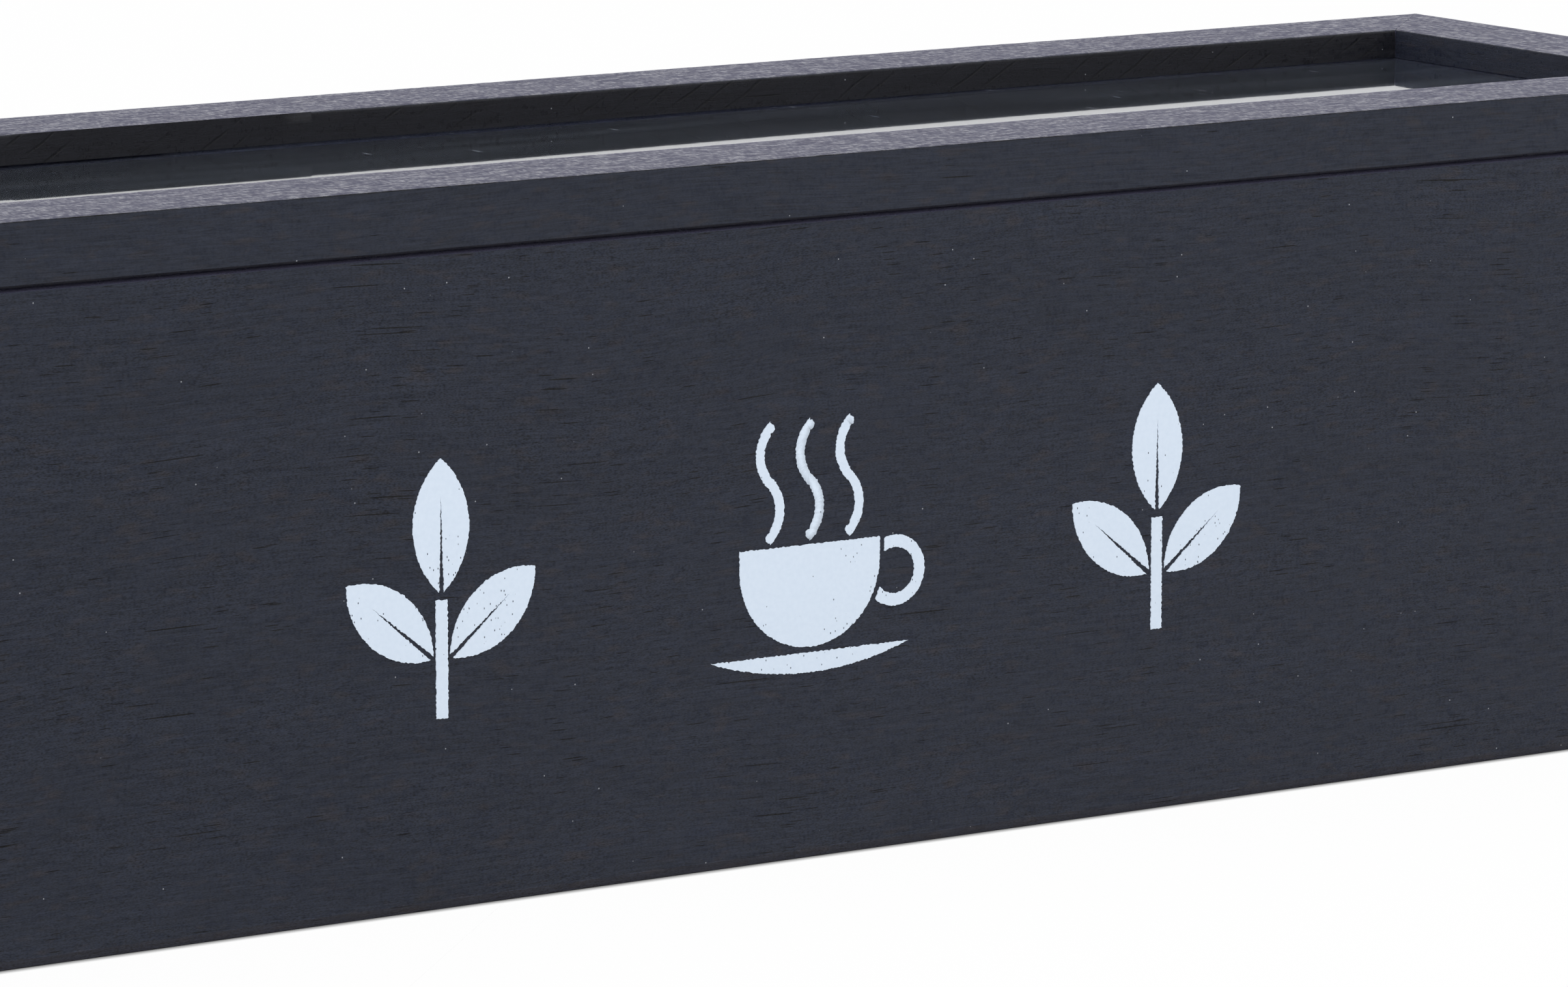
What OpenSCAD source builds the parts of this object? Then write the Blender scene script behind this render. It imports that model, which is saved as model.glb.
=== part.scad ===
// Tea bag organizer box: a long black-stained wooden box with a row of compartments
// and a hinged frame lid that holds a clear window.
// Millimetres. The origin is at the middle of the underside, +X to the right, +Y to the back.

/* [Box] */
// Overall width, from left to right
box_w = 330; // [280:1:400]
// Overall depth, from front to back
box_d = 90; // [82:1:120]
// Overall height with the lid closed
box_h = 90; // [80:1:110]
// Open seam between the box and the closed lid
lid_gap = 0.4; // [0.3:0.1:0.8]
// Rounding of the upright outer corners
corner_ease = 0.8; // [0.4:0.1:1.5]

/* [Panels] */
// Thickness of the front, back and end panels
panel_t = 8; // [7.5:0.5:10]
// Rounding of the panels' long edges
panel_ease = 0.6; // [0.3:0.1:1]
// Thickness of the front and back panels beside their rabbets
rabbet_lip = 4; // [3:0.5:5]
// Thickness of the bottom panel
bottom_t = 3; // [2:0.5:4]
// Height of the bottom panel's underside above the table
bottom_lift = 4; // [3:0.5:8]
// Depth of the grooves that hold the bottom panel and the dividers
groove_depth = 3; // [2:0.5:4]
// Play of a panel in its groove, on each side
groove_play = 0.1; // [0.05:0.05:0.3]

/* [Dividers] */
// Number of dividers
divider_count = 3; // [1:1:5]
// Thickness of a divider
divider_t = 4; // [3:0.5:6]
// Depth of the dividers' top edges below the rim
divider_drop = 5; // [2:0.5:15]
// Rounding of the dividers' top edges
divider_ease = 1; // [0.5:0.1:1.4]

/* [Lid] */
// Width of the lid's rails, seen from above
rail_w = 16; // [14:0.5:20]
// Thickness of the lid's rails
rail_t = 8; // [7.5:0.5:10]
// Rounding of the rails' top edges
rail_ease_top = 0.4; // [0.2:0.1:0.8]
// Rounding of the rails' outer lower edge
rail_ease_bottom = 0.9; // [0.4:0.1:1.2]
// Thickness of the window
window_t = 2; // [1.5:0.1:2.5]
// Depth of the window's upper face below the top of the rails
window_recess = 4.3; // [3:0.1:4.8]
// Depth of the groove that holds the window
window_groove = 4; // [3:0.5:5]
// Open height of the groove above the window
window_headroom = 0.3; // [0.2:0.1:0.6]
// Play of the window at the bottom of its groove
window_play = 0.5; // [0.3:0.1:0.8]

/* [Hinges] */
// Distance from each end of the box to the middle of its hinge
hinge_inset = 55; // [40:1:100]
// Length of a hinge along its pin
hinge_w = 20; // [18:0.5:26]
// Distance of the pin's axis from the back face
pivot_inset = 2.2; // [2:0.1:2.5]
// Angle of the open lid
open_angle = 100; // [92:1:110]
// Angle left between the bevels that stop the open lid
stop_play = 2; // [1:0.5:4]
// Thickness of a leaf
leaf_t = 0.8; // [0.7:0.1:1]
// Reach of a leaf from the pin's axis
leaf_reach = 4.8; // [4.6:0.1:5]
// Play of a leaf in its mortise, at its ends and its edge
leaf_play = 0.1; // [0.05:0.05:0.2]
// Diameter of the knuckles
knuckle_d = 3; // [2.6:0.1:3.4]
// Length of the lid's knuckle, in the middle of the hinge
knuckle_w = 9.4; // [7:0.2:12]
// Play between the knuckles, and between a knuckle and what is round it
knuckle_play = 0.3; // [0.2:0.05:0.4]
// Diameter of the pin
pin_d = 1.4; // [1:0.1:1.5]
// Diameter of the pin's upset ends
pin_head_d = 2.2; // [1.8:0.1:2.4]
// Thickness of the pin's upset ends
pin_head_t = 0.4; // [0.3:0.1:0.6]
// Radial play of pins, screws and brads in their holes
shank_play = 0.05; // [0.03:0.01:0.08]

/* [Screws] */
// Distance between the two screws of a leaf
screw_pitch = 12; // [9:0.5:13]
// Diameter of a screw's shank
screw_d = 1.6; // [1.2:0.1:1.8]
// Diameter of a screw's head
screw_head_d = 2.4; // [2.2:0.1:2.6]
// Length of a screw
screw_l = 6.2; // [5:0.1:6.4]
// Length of the point of a screw
screw_point = 1.4; // [1:0.1:2]
// Diameter of the tip of that point
screw_tip_d = 0.4; // [0.2:0.1:0.6]
// Width of the cross slot in a screw's head
slot_w = 0.35; // [0.25:0.05:0.5]
// Depth of the cross slot
slot_h = 0.3; // [0.2:0.05:0.35]
// Depth of a pilot hole past the point of its screw
pilot_spare = 0.4; // [0.2:0.1:0.8]

/* [Brads] */
// Number of brads in each upright corner
brad_count = 3; // [2:1:4]
// Distance of the first and last brad from the panels' edges
brad_margin = 14; // [10:1:20]
// Diameter of a brad
brad_d = 1.2; // [1:0.1:1.4]
// Diameter of a brad's head
brad_head_d = 1.8; // [1.6:0.1:2]
// Thickness of a brad's head
brad_head_t = 0.6; // [0.4:0.1:0.8]
// Length of a brad in an upright corner
brad_l = 16; // [14:0.5:18]
// Length of a brad in the lid's mitres
lid_brad_l = 14; // [12:0.5:16]
// Distance of the lid's brads from its front and back faces
lid_brad_inset = 5; // [4:0.5:6]
// Depth of the brads' heads below the wood
brad_sink = 0.4; // [0.3:0.1:0.6]

/* [Print] */
// Distance between the middles of neighbouring printed motifs
print_pitch = 54; // [44:0.5:60]
// Height of a printed motif
print_h = 32.5; // [30:0.5:36]
// Distance of the middle of the print below the middle of the front panel
print_drop = 0.5; // [0:0.1:3]
// Thickness of the ink
ink_t = 0.1; // [0.1:0.05:0.2]
// Width of the lines left bare in a motif
bare_line = 0.7; // [0.5:0.1:0.9]
// Length of the sprig's middle leaf
bud_l = 17; // [14:0.5:19]
// Width of the sprig's middle leaf
bud_w = 8; // [6:0.2:9]
// Length of the sprig's side leaves
leaf_l = 16; // [13:0.5:18]
// Width of the sprig's side leaves
leaf_w = 7.6; // [6:0.2:8.4]
// Length of a leaf's tip beyond its midrib
rib_end = 4.6; // [3:0.2:6]
// Lean of the side leaves from upright
leaf_lean = 50; // [42:1:60]
// Height of the side leaves' joints above the foot of the sprig
leaf_joint = 7.5; // [6:0.5:10]
// Width of the sprig's stalk
stalk_w = 1.7; // [1.2:0.1:2]
// Radius of the round lower part of the cup's bowl
bowl_r = 10.6; // [9:0.2:11.4]
// Height of the straight upper part of the bowl
bowl_rim_h = 2.6; // [1:0.2:4]
// Width of the saucer
saucer_w = 30; // [26:0.5:32]
// Thickness of the saucer at its middle
saucer_t = 2.6; // [2:0.1:3]
// Outer radius of the cup's handle
handle_r = 4.6; // [4:0.1:5]
// Thickness of the cup's handle
handle_t = 1.6; // [1.2:0.1:1.8]
// Width of a wisp of steam
steam_w = 1.3; // [1:0.1:1.6]
// Radius of a wisp's bends as a share of their height
steam_bend = 0.7; // [0.55:0.05:1]
// Distance between the wisps of steam
steam_pitch = 6; // [5:0.1:7]

/* [Hidden] */
$fn = 48;
body_h = box_h - rail_t - lid_gap;
lid_z = box_h - rail_t;
inner_w = box_w - 2 * panel_t;
rabbet_depth = panel_t - rabbet_lip;
end_panel_l = box_d - 2 * rabbet_lip;
bottom_top = bottom_lift + bottom_t;
cell_w = (inner_w - divider_count * divider_t) / (divider_count + 1);
groove_reach_y = box_d / 2 - panel_t + groove_depth - groove_play;
groove_reach_x = box_w / 2 - panel_t + groove_depth - groove_play;
window_z = box_h - window_recess - window_t;
window_inset = rail_w - window_groove + window_play;
pivot_y = box_d / 2 - pivot_inset;
pivot_z = body_h + lid_gap / 2;
bevel_angle = (open_angle + stop_play) / 2;
leaf_edge = knuckle_d / 2 + knuckle_play;
side_knuckle_w = (hinge_w - knuckle_w) / 2 - knuckle_play;
screw_back = (leaf_edge + leaf_reach) / 2;
screw_head_h = (screw_head_d - screw_d) / 2;
over = 0.5;
wood = [0.14, 0.14, 0.16];
inner_wood = [0.18, 0.18, 0.2];
steel = [0.72, 0.72, 0.74];
white_ink = [0.88, 0.91, 0.96];
clear = [0.75, 0.85, 0.95, 0.35];
side_names = ["left", "right"];
HINGE_NODES = ["body_leaf", "lid_leaf", "pin", "body_screws", "lid_screws"];

// What rounding takes off a corner at the origin
module corner_cut(r) {
    difference() {
        translate([-over, -over])
            square(r + over);
        translate([r, r])
            circle(r);
    }
}

// A w by h rectangle with rounded corners: lower left, lower right, upper right, upper left
module eased_rect(w, h, radii) {
    corners = [[0, 0], [1, 0], [1, 1], [0, 1]];
    difference() {
        square([w, h]);
        for (i = [0:3])
            if (radii[i] > 0)
                translate([corners[i].x * w, corners[i].y * h])
                    mirror([corners[i].x, 0])
                        mirror([0, corners[i].y])
                            corner_cut(radii[i]);
    }
}

// A bar along x, from a section drawn in y and z
module bar_x(length) {
    rotate([90, 0, 90])
        linear_extrude(length, center = true)
            children();
}

// A bar along y, from a section drawn in x and z
module bar_y(length) {
    rotate([90, 0, 0])
        linear_extrude(length, center = true)
            children();
}

// The outline of the box and lid from above, as high as the part
module plan_block() {
    linear_extrude(box_h)
        translate([-box_w / 2, -box_d / 2])
            eased_rect(box_w, box_d, [for (i = [1:4]) corner_ease]);
}

// Copies for the left and the right side
module both_sides() {
    for (side = [-1, 1])
        on_side(side) children();
}

// The right side as it is drawn, or the left side as its mirror image
module on_side(side) {
    mirror([side < 0 ? 1 : 0, 0, 0]) children();
}

// The place of one hinge: its pin lies along x on the origin
module at_hinge(side) {
    translate([side * (box_w / 2 - hinge_inset), pivot_y, pivot_z]) children();
}

// The wedge behind the pin that lets the lid tip back, for the box below and the lid above
module bevel_cut() {
    run = pivot_inset + over;
    rise = run * tan(bevel_angle);
    translate([0, pivot_y, pivot_z])
        bar_x(box_w + 2 * over)
            polygon([[0, 0], [run, -rise], [run, rise]]);
}

// A hole along z down from the origin
module hole(d, depth) {
    translate([0, 0, -depth])
        cylinder(d = d + 2 * shank_play, h = depth + over);
}

module screw_places() {
    for (x = [-screw_pitch / 2, screw_pitch / 2])
        translate([x, -screw_back, -lid_gap / 2]) children();
}

// What a hinge needs cut out of the wood below its pin
module hinge_mortise() {
    rotate([0, 90, 0])
        cylinder(r = leaf_edge, h = hinge_w + 2 * (pin_head_t + knuckle_play), center = true);
    translate([-hinge_w / 2 - leaf_play, -leaf_reach - leaf_play, -lid_gap / 2 - leaf_t])
        cube([hinge_w + 2 * leaf_play, leaf_reach + leaf_play, leaf_t + over]);
    screw_places()
        hole(screw_d, screw_l + pilot_spare);
}

// The heights of the brads in an upright corner
function brad_heights() =
    [for (i = [0:brad_count - 1]) brad_margin + i * (body_h - 2 * brad_margin) / (brad_count - 1)];

// A brad that enters the wood at the origin along -x
module brad(length) {
    rotate([0, 90, 0]) {
        translate([0, 0, -length])
            cylinder(d = brad_d, h = length);
        translate([0, 0, -brad_head_t])
            cylinder(d = brad_head_d, h = brad_head_t);
    }
}

// The hole of a brad, with the dimple over its head
module brad_hole(length) {
    rotate([0, 90, 0]) {
        hole(brad_d, length);
        hole(brad_head_d, brad_head_t);
    }
}

module corner_brad_places() {
    both_sides()
        for (face = [-1, 1], z = brad_heights())
            translate([
                box_w / 2 - brad_sink,
                face * (box_d / 2 - rabbet_lip - rabbet_depth / 2),
                z
            ]) children();
}

module lid_brad_places() {
    both_sides()
        for (face = [-1, 1])
            translate([box_w / 2 - brad_sink, face * (box_d / 2 - lid_brad_inset), lid_z + rail_t / 2])
                children();
}

function divider_x(i) = -inner_w / 2 + i * cell_w + (i - 0.5) * divider_t;

// The section of a front, back or end panel
module panel_section() {
    eased_rect(panel_t, body_h, [for (i = [1:4]) panel_ease]);
}

// The front or back panel with its rabbets and grooves, its outer face towards -y
module long_panel() {
    groove_w = divider_t + 2 * groove_play;
    difference() {
        intersection() {
            translate([0, -box_d / 2, 0])
                bar_x(box_w) panel_section();
            plan_block();
        }
        both_sides()
            translate([inner_w / 2, -box_d / 2 + rabbet_lip, -over])
                cube([panel_t + over, panel_t, body_h + 2 * over]);
        translate([-box_w / 2, -box_d / 2 + panel_t - groove_depth, bottom_lift])
            cube([box_w, groove_depth + over, bottom_t + groove_play]);
        for (i = [1:divider_count])
            translate([divider_x(i) - groove_w / 2, -box_d / 2 + panel_t - groove_depth, bottom_top])
                cube([groove_w, groove_depth + over, body_h]);
        corner_brad_places()
            brad_hole(brad_l);
    }
}

module front_panel() {
    color(wood)
        long_panel();
}

module back_panel() {
    color(wood)
        difference() {
            mirror([0, 1, 0]) long_panel();
            bevel_cut();
            for (side = [-1, 1])
                at_hinge(side) hinge_mortise();
        }
}

module end_panel(side) {
    color(wood)
        on_side(side)
            difference() {
                translate([box_w / 2 - panel_t, 0, 0])
                    bar_y(end_panel_l) panel_section();
                translate([inner_w / 2 - over, -end_panel_l / 2 - over, bottom_lift])
                    cube([groove_depth + over, end_panel_l + 2 * over, bottom_t + groove_play]);
                corner_brad_places()
                    brad_hole(brad_l);
            }
}

module bottom_panel() {
    color(inner_wood)
        translate([-groove_reach_x, -groove_reach_y, bottom_lift])
            cube([2 * groove_reach_x, 2 * groove_reach_y, bottom_t]);
}

module divider(i) {
    height = body_h - divider_drop - bottom_top;
    color(inner_wood)
        translate([divider_x(i) - divider_t / 2, 0, bottom_top])
            bar_y(2 * groove_reach_y)
                eased_rect(divider_t, height, [0, 0, divider_ease, divider_ease]);
}

module corner_brads() {
    color(steel)
        corner_brad_places()
            brad(brad_l);
}

// The section of a rail: its outer face on the left, and the window's groove on the right
module rail_bar(length) {
    groove_h = window_t + window_headroom;
    difference() {
        bar_x(length)
            eased_rect(rail_w, rail_t, [rail_ease_bottom, rail_ease_top, rail_ease_top, rail_ease_top]);
        translate([-length / 2 - over, rail_w - window_groove, window_z - lid_z])
            cube([length + 2 * over, window_groove + over, groove_h]);
    }
}

// A rail of the lid, mitred at both ends, as the front rail of a lid of the given width and depth
module rail(width, depth) {
    intersection() {
        translate([0, -depth / 2, lid_z])
            rail_bar(width);
        linear_extrude(box_h + over)
            polygon([
                [-width / 2, -depth / 2],
                [width / 2, -depth / 2],
                [width / 2 - rail_w, -depth / 2 + rail_w],
                [-width / 2 + rail_w, -depth / 2 + rail_w]
            ]);
    }
}

// What a rail loses to the outline, the bevel and the brads
module fitted_rail() {
    difference() {
        intersection() {
            children();
            plan_block();
        }
        bevel_cut();
        lid_brad_places()
            brad_hole(lid_brad_l);
    }
}

module lid_front_rail() {
    color(wood)
        fitted_rail()
            rail(box_w, box_d);
}

module lid_rear_rail() {
    color(wood)
        difference() {
            fitted_rail()
                mirror([0, 1, 0]) rail(box_w, box_d);
            for (side = [-1, 1])
                at_hinge(side) mirror([0, 0, 1]) hinge_mortise();
        }
}

module lid_side_rail(side) {
    color(wood)
        fitted_rail()
            rotate([0, 0, side * 90]) rail(box_d, box_w);
}

module lid_window() {
    size_x = box_w - 2 * window_inset;
    size_y = box_d - 2 * window_inset;
    color(clear)
        translate([-size_x / 2, -size_y / 2, window_z])
            cube([size_x, size_y, window_t]);
}

module lid_brads() {
    color(steel)
        lid_brad_places()
            brad(lid_brad_l);
}

// A hinge leaf that lies below the pin, with a knuckle for each [from, to] along the pin
module leaf(knuckles) {
    plate_z = -lid_gap / 2 - leaf_t;
    difference() {
        union() {
            translate([-hinge_w / 2, -leaf_reach, plate_z])
                cube([hinge_w, leaf_reach - leaf_edge, leaf_t]);
            for (k = knuckles) {
                translate([k[0], -leaf_edge - over, plate_z])
                    cube([k[1] - k[0], leaf_edge + over, leaf_t]);
                translate([k[0], 0, 0])
                    rotate([0, 90, 0])
                        cylinder(d = knuckle_d, h = k[1] - k[0]);
            }
        }
        rotate([0, 90, 0])
            cylinder(d = pin_d + 2 * shank_play, h = hinge_w + 2 * over, center = true);
        screw_places() {
            hole(screw_d, leaf_t + over);
            translate([0, 0, -screw_head_h])
                cylinder(
                    d1 = screw_d + 2 * shank_play, d2 = screw_head_d + 2 * shank_play, h = screw_head_h
                );
        }
    }
}

module body_leaf() {
    color(steel)
        leaf([[-hinge_w / 2, -hinge_w / 2 + side_knuckle_w], [hinge_w / 2 - side_knuckle_w, hinge_w / 2]]);
}

module lid_leaf() {
    color(steel)
        mirror([0, 0, 1])
            leaf([[-knuckle_w / 2, knuckle_w / 2]]);
}

module pin() {
    color(steel)
        rotate([0, 90, 0]) {
            cylinder(d = pin_d, h = hinge_w + 2 * pin_head_t, center = true);
            for (end = [0, 1])
                mirror([0, 0, end])
                    translate([0, 0, hinge_w / 2])
                        cylinder(d = pin_head_d, h = pin_head_t);
        }
}

// A countersunk screw whose head's face is at the origin, pointing down
module screw() {
    difference() {
        union() {
            translate([0, 0, -screw_head_h])
                cylinder(d1 = screw_d, d2 = screw_head_d, h = screw_head_h);
            translate([0, 0, screw_point - screw_l])
                cylinder(d = screw_d, h = screw_l - screw_point);
            translate([0, 0, -screw_l])
                cylinder(d1 = screw_tip_d, d2 = screw_d, h = screw_point);
        }
        for (turn = [0, 90])
            rotate([0, 0, turn])
                translate([-screw_d / 2, -slot_w / 2, -slot_h])
                    cube([screw_d, slot_w, slot_h + over]);
    }
}

module hinge_screws() {
    color(steel)
        screw_places()
            screw();
}

// One piece of a hinge, by its name
module hinge_piece(piece) {
    if (piece == "body_leaf") body_leaf();
    if (piece == "lid_leaf") lid_leaf();
    if (piece == "pin") pin();
    if (piece == "body_screws") hinge_screws();
    if (piece == "lid_screws") mirror([0, 0, 1]) hinge_screws();
}

// A pointed leaf from the origin up, with its midrib left bare
module leaf_shape(length, width) {
    // A leaf is where two circles meet that both pass through its ends
    r = (pow(length / 2, 2) + pow(width / 2, 2)) / width;
    difference() {
        intersection_for(side = [-1, 1])
            translate([side * (r - width / 2), length / 2])
                circle(r, $fn = 96);
        polygon([[-bare_line / 2, -over], [bare_line / 2, -over], [0, length - rib_end]]);
    }
}

// Two leaves and a bud on a stalk, its foot at y = 0
module sprig_shape() {
    bud_y = print_h - bud_l;
    translate([0, bud_y])
        leaf_shape(bud_l, bud_w);
    translate([-stalk_w / 2, 0])
        square([stalk_w, bud_y - bare_line]);
    for (side = [0, 1])
        mirror([side, 0])
            translate([(stalk_w + bare_line) / 2, leaf_joint])
                rotate(-leaf_lean)
                    leaf_shape(leaf_l, leaf_w);
}

// The cup's bowl below its rim at y = 0, wider all round by the given amount
module bowl_shape(more = 0) {
    r = bowl_r + more;
    translate([-r, -bowl_rim_h])
        square([2 * r, bowl_rim_h]);
    translate([0, -bowl_rim_h])
        intersection() {
            circle(r, $fn = 96);
            translate([-r, -r])
                square([2 * r, r + over]);
        }
}

// A band of steam that bulges to the right, its ends h apart on x = 0
module bulge(h) {
    bend_r = h * steam_bend;
    bend_x = sqrt(pow(bend_r, 2) - pow(h / 2, 2));
    intersection() {
        translate([-bend_x, 0])
            difference() {
                circle(bend_r + steam_w / 2, $fn = 96);
                circle(bend_r - steam_w / 2, $fn = 96);
            }
        translate([0, -h])
            square([h, 2 * h]);
    }
}

// A wisp of steam h high, from y = 0 up: one bulge to the right and one to the left
module wisp(h) {
    for (half = [0, 1])
        translate([0, (half + 1 / 2) * h / 2])
            mirror([half, 0]) bulge(h / 2);
    for (y = [0, h])
        translate([0, y])
            circle(steam_w / 2);
}

// A cup on a saucer with three wisps of steam, its foot at y = 0
module cup_shape() {
    saucer_r = (pow(saucer_w / 2, 2) + pow(saucer_t, 2)) / (2 * saucer_t);
    rim_y = saucer_t + bare_line + bowl_r + bowl_rim_h;
    steam_y = rim_y + bare_line + steam_w / 2;
    // The saucer is the lower cap of a large circle
    intersection() {
        translate([0, saucer_r])
            circle(saucer_r, $fn = 192);
        translate([-saucer_w / 2, 0])
            square([saucer_w, saucer_t]);
    }
    translate([0, rim_y]) {
        bowl_shape();
        // The handle is a ring that the bowl cuts open
        difference() {
            translate([bowl_r + handle_r / 2, -handle_r])
                difference() {
                    circle(handle_r);
                    circle(handle_r - handle_t);
                }
            bowl_shape(bare_line);
        }
    }
    for (i = [-1:1])
        translate([i * steam_pitch, steam_y])
            wisp(print_h - steam_y - steam_w / 2);
}

module front_print() {
    color(white_ink)
        translate([0, -box_d / 2, (body_h - print_h) / 2 - print_drop])
            rotate([90, 0, 0])
                linear_extrude(ink_t) {
                    cup_shape();
                    for (side = [-1, 1])
                        translate([side * print_pitch, 0]) sprig_shape();
                }
}

front_panel();
back_panel();
end_panel(-1);  // left_end_panel
end_panel(1);  // right_end_panel
bottom_panel();
for (i = [1:divider_count])
    divider(i);
corner_brads();
front_print();
lid_front_rail();
lid_rear_rail();
lid_side_rail(-1);  // lid_left_rail
lid_side_rail(1);  // lid_right_rail
lid_window();
lid_brads();
for (side = [0, 1], piece = HINGE_NODES)
    at_hinge(2 * side - 1) hinge_piece(piece);
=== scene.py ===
"""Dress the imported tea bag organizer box: stained boards, a screen print, a clear window and hinges.

Every size is in metres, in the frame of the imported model: the origin is at the middle of the
underside, X to the right, Y to the back and Z up.
"""
import math
from functools import partial

import bmesh
import bpy
from mathutils import Matrix, Vector


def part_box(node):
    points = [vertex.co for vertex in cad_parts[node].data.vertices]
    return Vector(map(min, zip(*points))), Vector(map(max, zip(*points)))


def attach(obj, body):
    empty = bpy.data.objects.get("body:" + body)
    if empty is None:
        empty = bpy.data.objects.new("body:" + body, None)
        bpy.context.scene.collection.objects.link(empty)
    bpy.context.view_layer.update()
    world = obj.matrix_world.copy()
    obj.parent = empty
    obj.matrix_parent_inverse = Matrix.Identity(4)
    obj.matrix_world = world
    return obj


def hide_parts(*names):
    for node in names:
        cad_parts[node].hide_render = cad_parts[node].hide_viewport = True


bl_info = {
    "name": "Tea Bag Organizer Box",
    "version": (1, 0, 0),
    "blender": (4, 5, 0),
    "location": "3D View > Sidebar > Tea Box",
    "description": "Boards, lid, print, window, hinges and stage of a tea bag organizer box",
    "category": "Object",
}

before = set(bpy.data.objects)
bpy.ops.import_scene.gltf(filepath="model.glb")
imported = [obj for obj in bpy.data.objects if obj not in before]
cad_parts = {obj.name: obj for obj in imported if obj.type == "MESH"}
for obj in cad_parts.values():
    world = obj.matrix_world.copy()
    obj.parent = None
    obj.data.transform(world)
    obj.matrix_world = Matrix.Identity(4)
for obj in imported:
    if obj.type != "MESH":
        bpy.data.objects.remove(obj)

MM = 0.001
X, Y, Z = 0, 1, 2
AXES = (Vector((1, 0, 0)), Vector((0, 1, 0)), Vector((0, 0, 1)))

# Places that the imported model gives
FRONT_LOW, FRONT_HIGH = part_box("front_panel")
RAIL_LOW, RAIL_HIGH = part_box("lid_front_rail")
WINDOW_LOW, WINDOW_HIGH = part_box("lid_window")
HALF_W = FRONT_HIGH.x
HALF_D = -FRONT_LOW.y
RIM_Z = FRONT_HIGH.z
LID_Z = RAIL_LOW.z
TOP_Z = RAIL_HIGH.z
RAIL_IN_Y = -RAIL_HIGH.y
RAIL_IN_X = HALF_W - HALF_D + RAIL_IN_Y
BODY_PIN_LOW, BODY_PIN_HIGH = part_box("right_hinge_pin")
PIN = (BODY_PIN_LOW + BODY_PIN_HIGH) / 2

# Sizes of the joinery, as in the part's source
PANEL_T = 8 * MM
RABBET_LIP = 4 * MM
GROOVE_DEPTH = 3 * MM
BOTTOM_GROOVE = (4 * MM, 7.1 * MM)
DIVIDER_X = (-79.5 * MM, 0, 79.5 * MM)
DIVIDER_GROOVE = 4.2 * MM
WINDOW_GROOVE = (83.7 * MM, 86 * MM)
WINDOW_GROOVE_DEPTH = 4 * MM
CORNER_EASE = 0.8 * MM
BEVEL_ANGLE = math.radians(51)
BRAD_Z = (14 * MM, 40.8 * MM, 67.6 * MM)
BRAD_Y = 39 * MM
LID_BRAD_Y = 40 * MM
LID_BRAD_Z = 86 * MM
BRAD_SINK = 0.4 * MM
BRAD_L = 16 * MM
LID_BRAD_L = 14 * MM
BRAD_R = 0.6 * MM
BRAD_HEAD_R = 0.9 * MM
BRAD_HEAD_T = 0.6 * MM
HINGE_W = 20 * MM
LEAF_T = 0.8 * MM
LEAF_REACH = 4.8 * MM
LEAF_EDGE = 1.8 * MM
KNUCKLE_R = 1.5 * MM
ROLL = math.radians(262)
ROLL_STEPS = 24
KNUCKLE_W = 9.4 * MM
SIDE_KNUCKLE_W = 5 * MM
PIN_R = 0.7 * MM
PIN_HEAD_R = 1.1 * MM
PIN_HEAD_T = 0.4 * MM
HALF_GAP = 0.2 * MM
SCREW_X = 6 * MM
SCREW_BACK = 3.3 * MM
SCREW_R = 0.8 * MM
SCREW_HEAD_R = 1.2 * MM
SCREW_L = 6.2 * MM
PLAY = 0.05 * MM
OVER = 1 * MM
ARRIS_D = 0.2 * MM

# How near two places have to be to count as the same
TOUCH = 0.01 * MM

# Where the camera and the softbox stand
CAMERA_AT = (-0.51568, -0.83542, 0.21069)
CAMERA_TURN = (math.radians(90 - 9.837), 0, math.radians(-32.924))
SOFTBOX_AT = Vector((-0.5, -0.9, 1.5))
SOFTBOX_SIZE = (1.8, 1.2)


def linear(code):
    """Turn an sRGB hex colour into its linear red, green and blue."""
    parts = [int(code[i:i + 2], 16) / 255 for i in (1, 3, 5)]
    return [c / 12.92 if c <= 0.04045 else ((c + 0.055) / 1.055) ** 2.4 for c in parts]


def colour_setting(name, description, code):
    """A colour that the user can change, its default given as an sRGB hex code."""
    return bpy.props.FloatVectorProperty(
        name=name, description=description, subtype="COLOR", size=3, min=0, max=1,
        default=linear(code),
    )


def length_setting(name, description, default, low, high):
    """A length that the user can change, its default and its limits given in millimetres."""
    return bpy.props.FloatProperty(
        name=name, description=description, unit="LENGTH",
        default=default * MM, min=low * MM, max=high * MM,
    )


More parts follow.
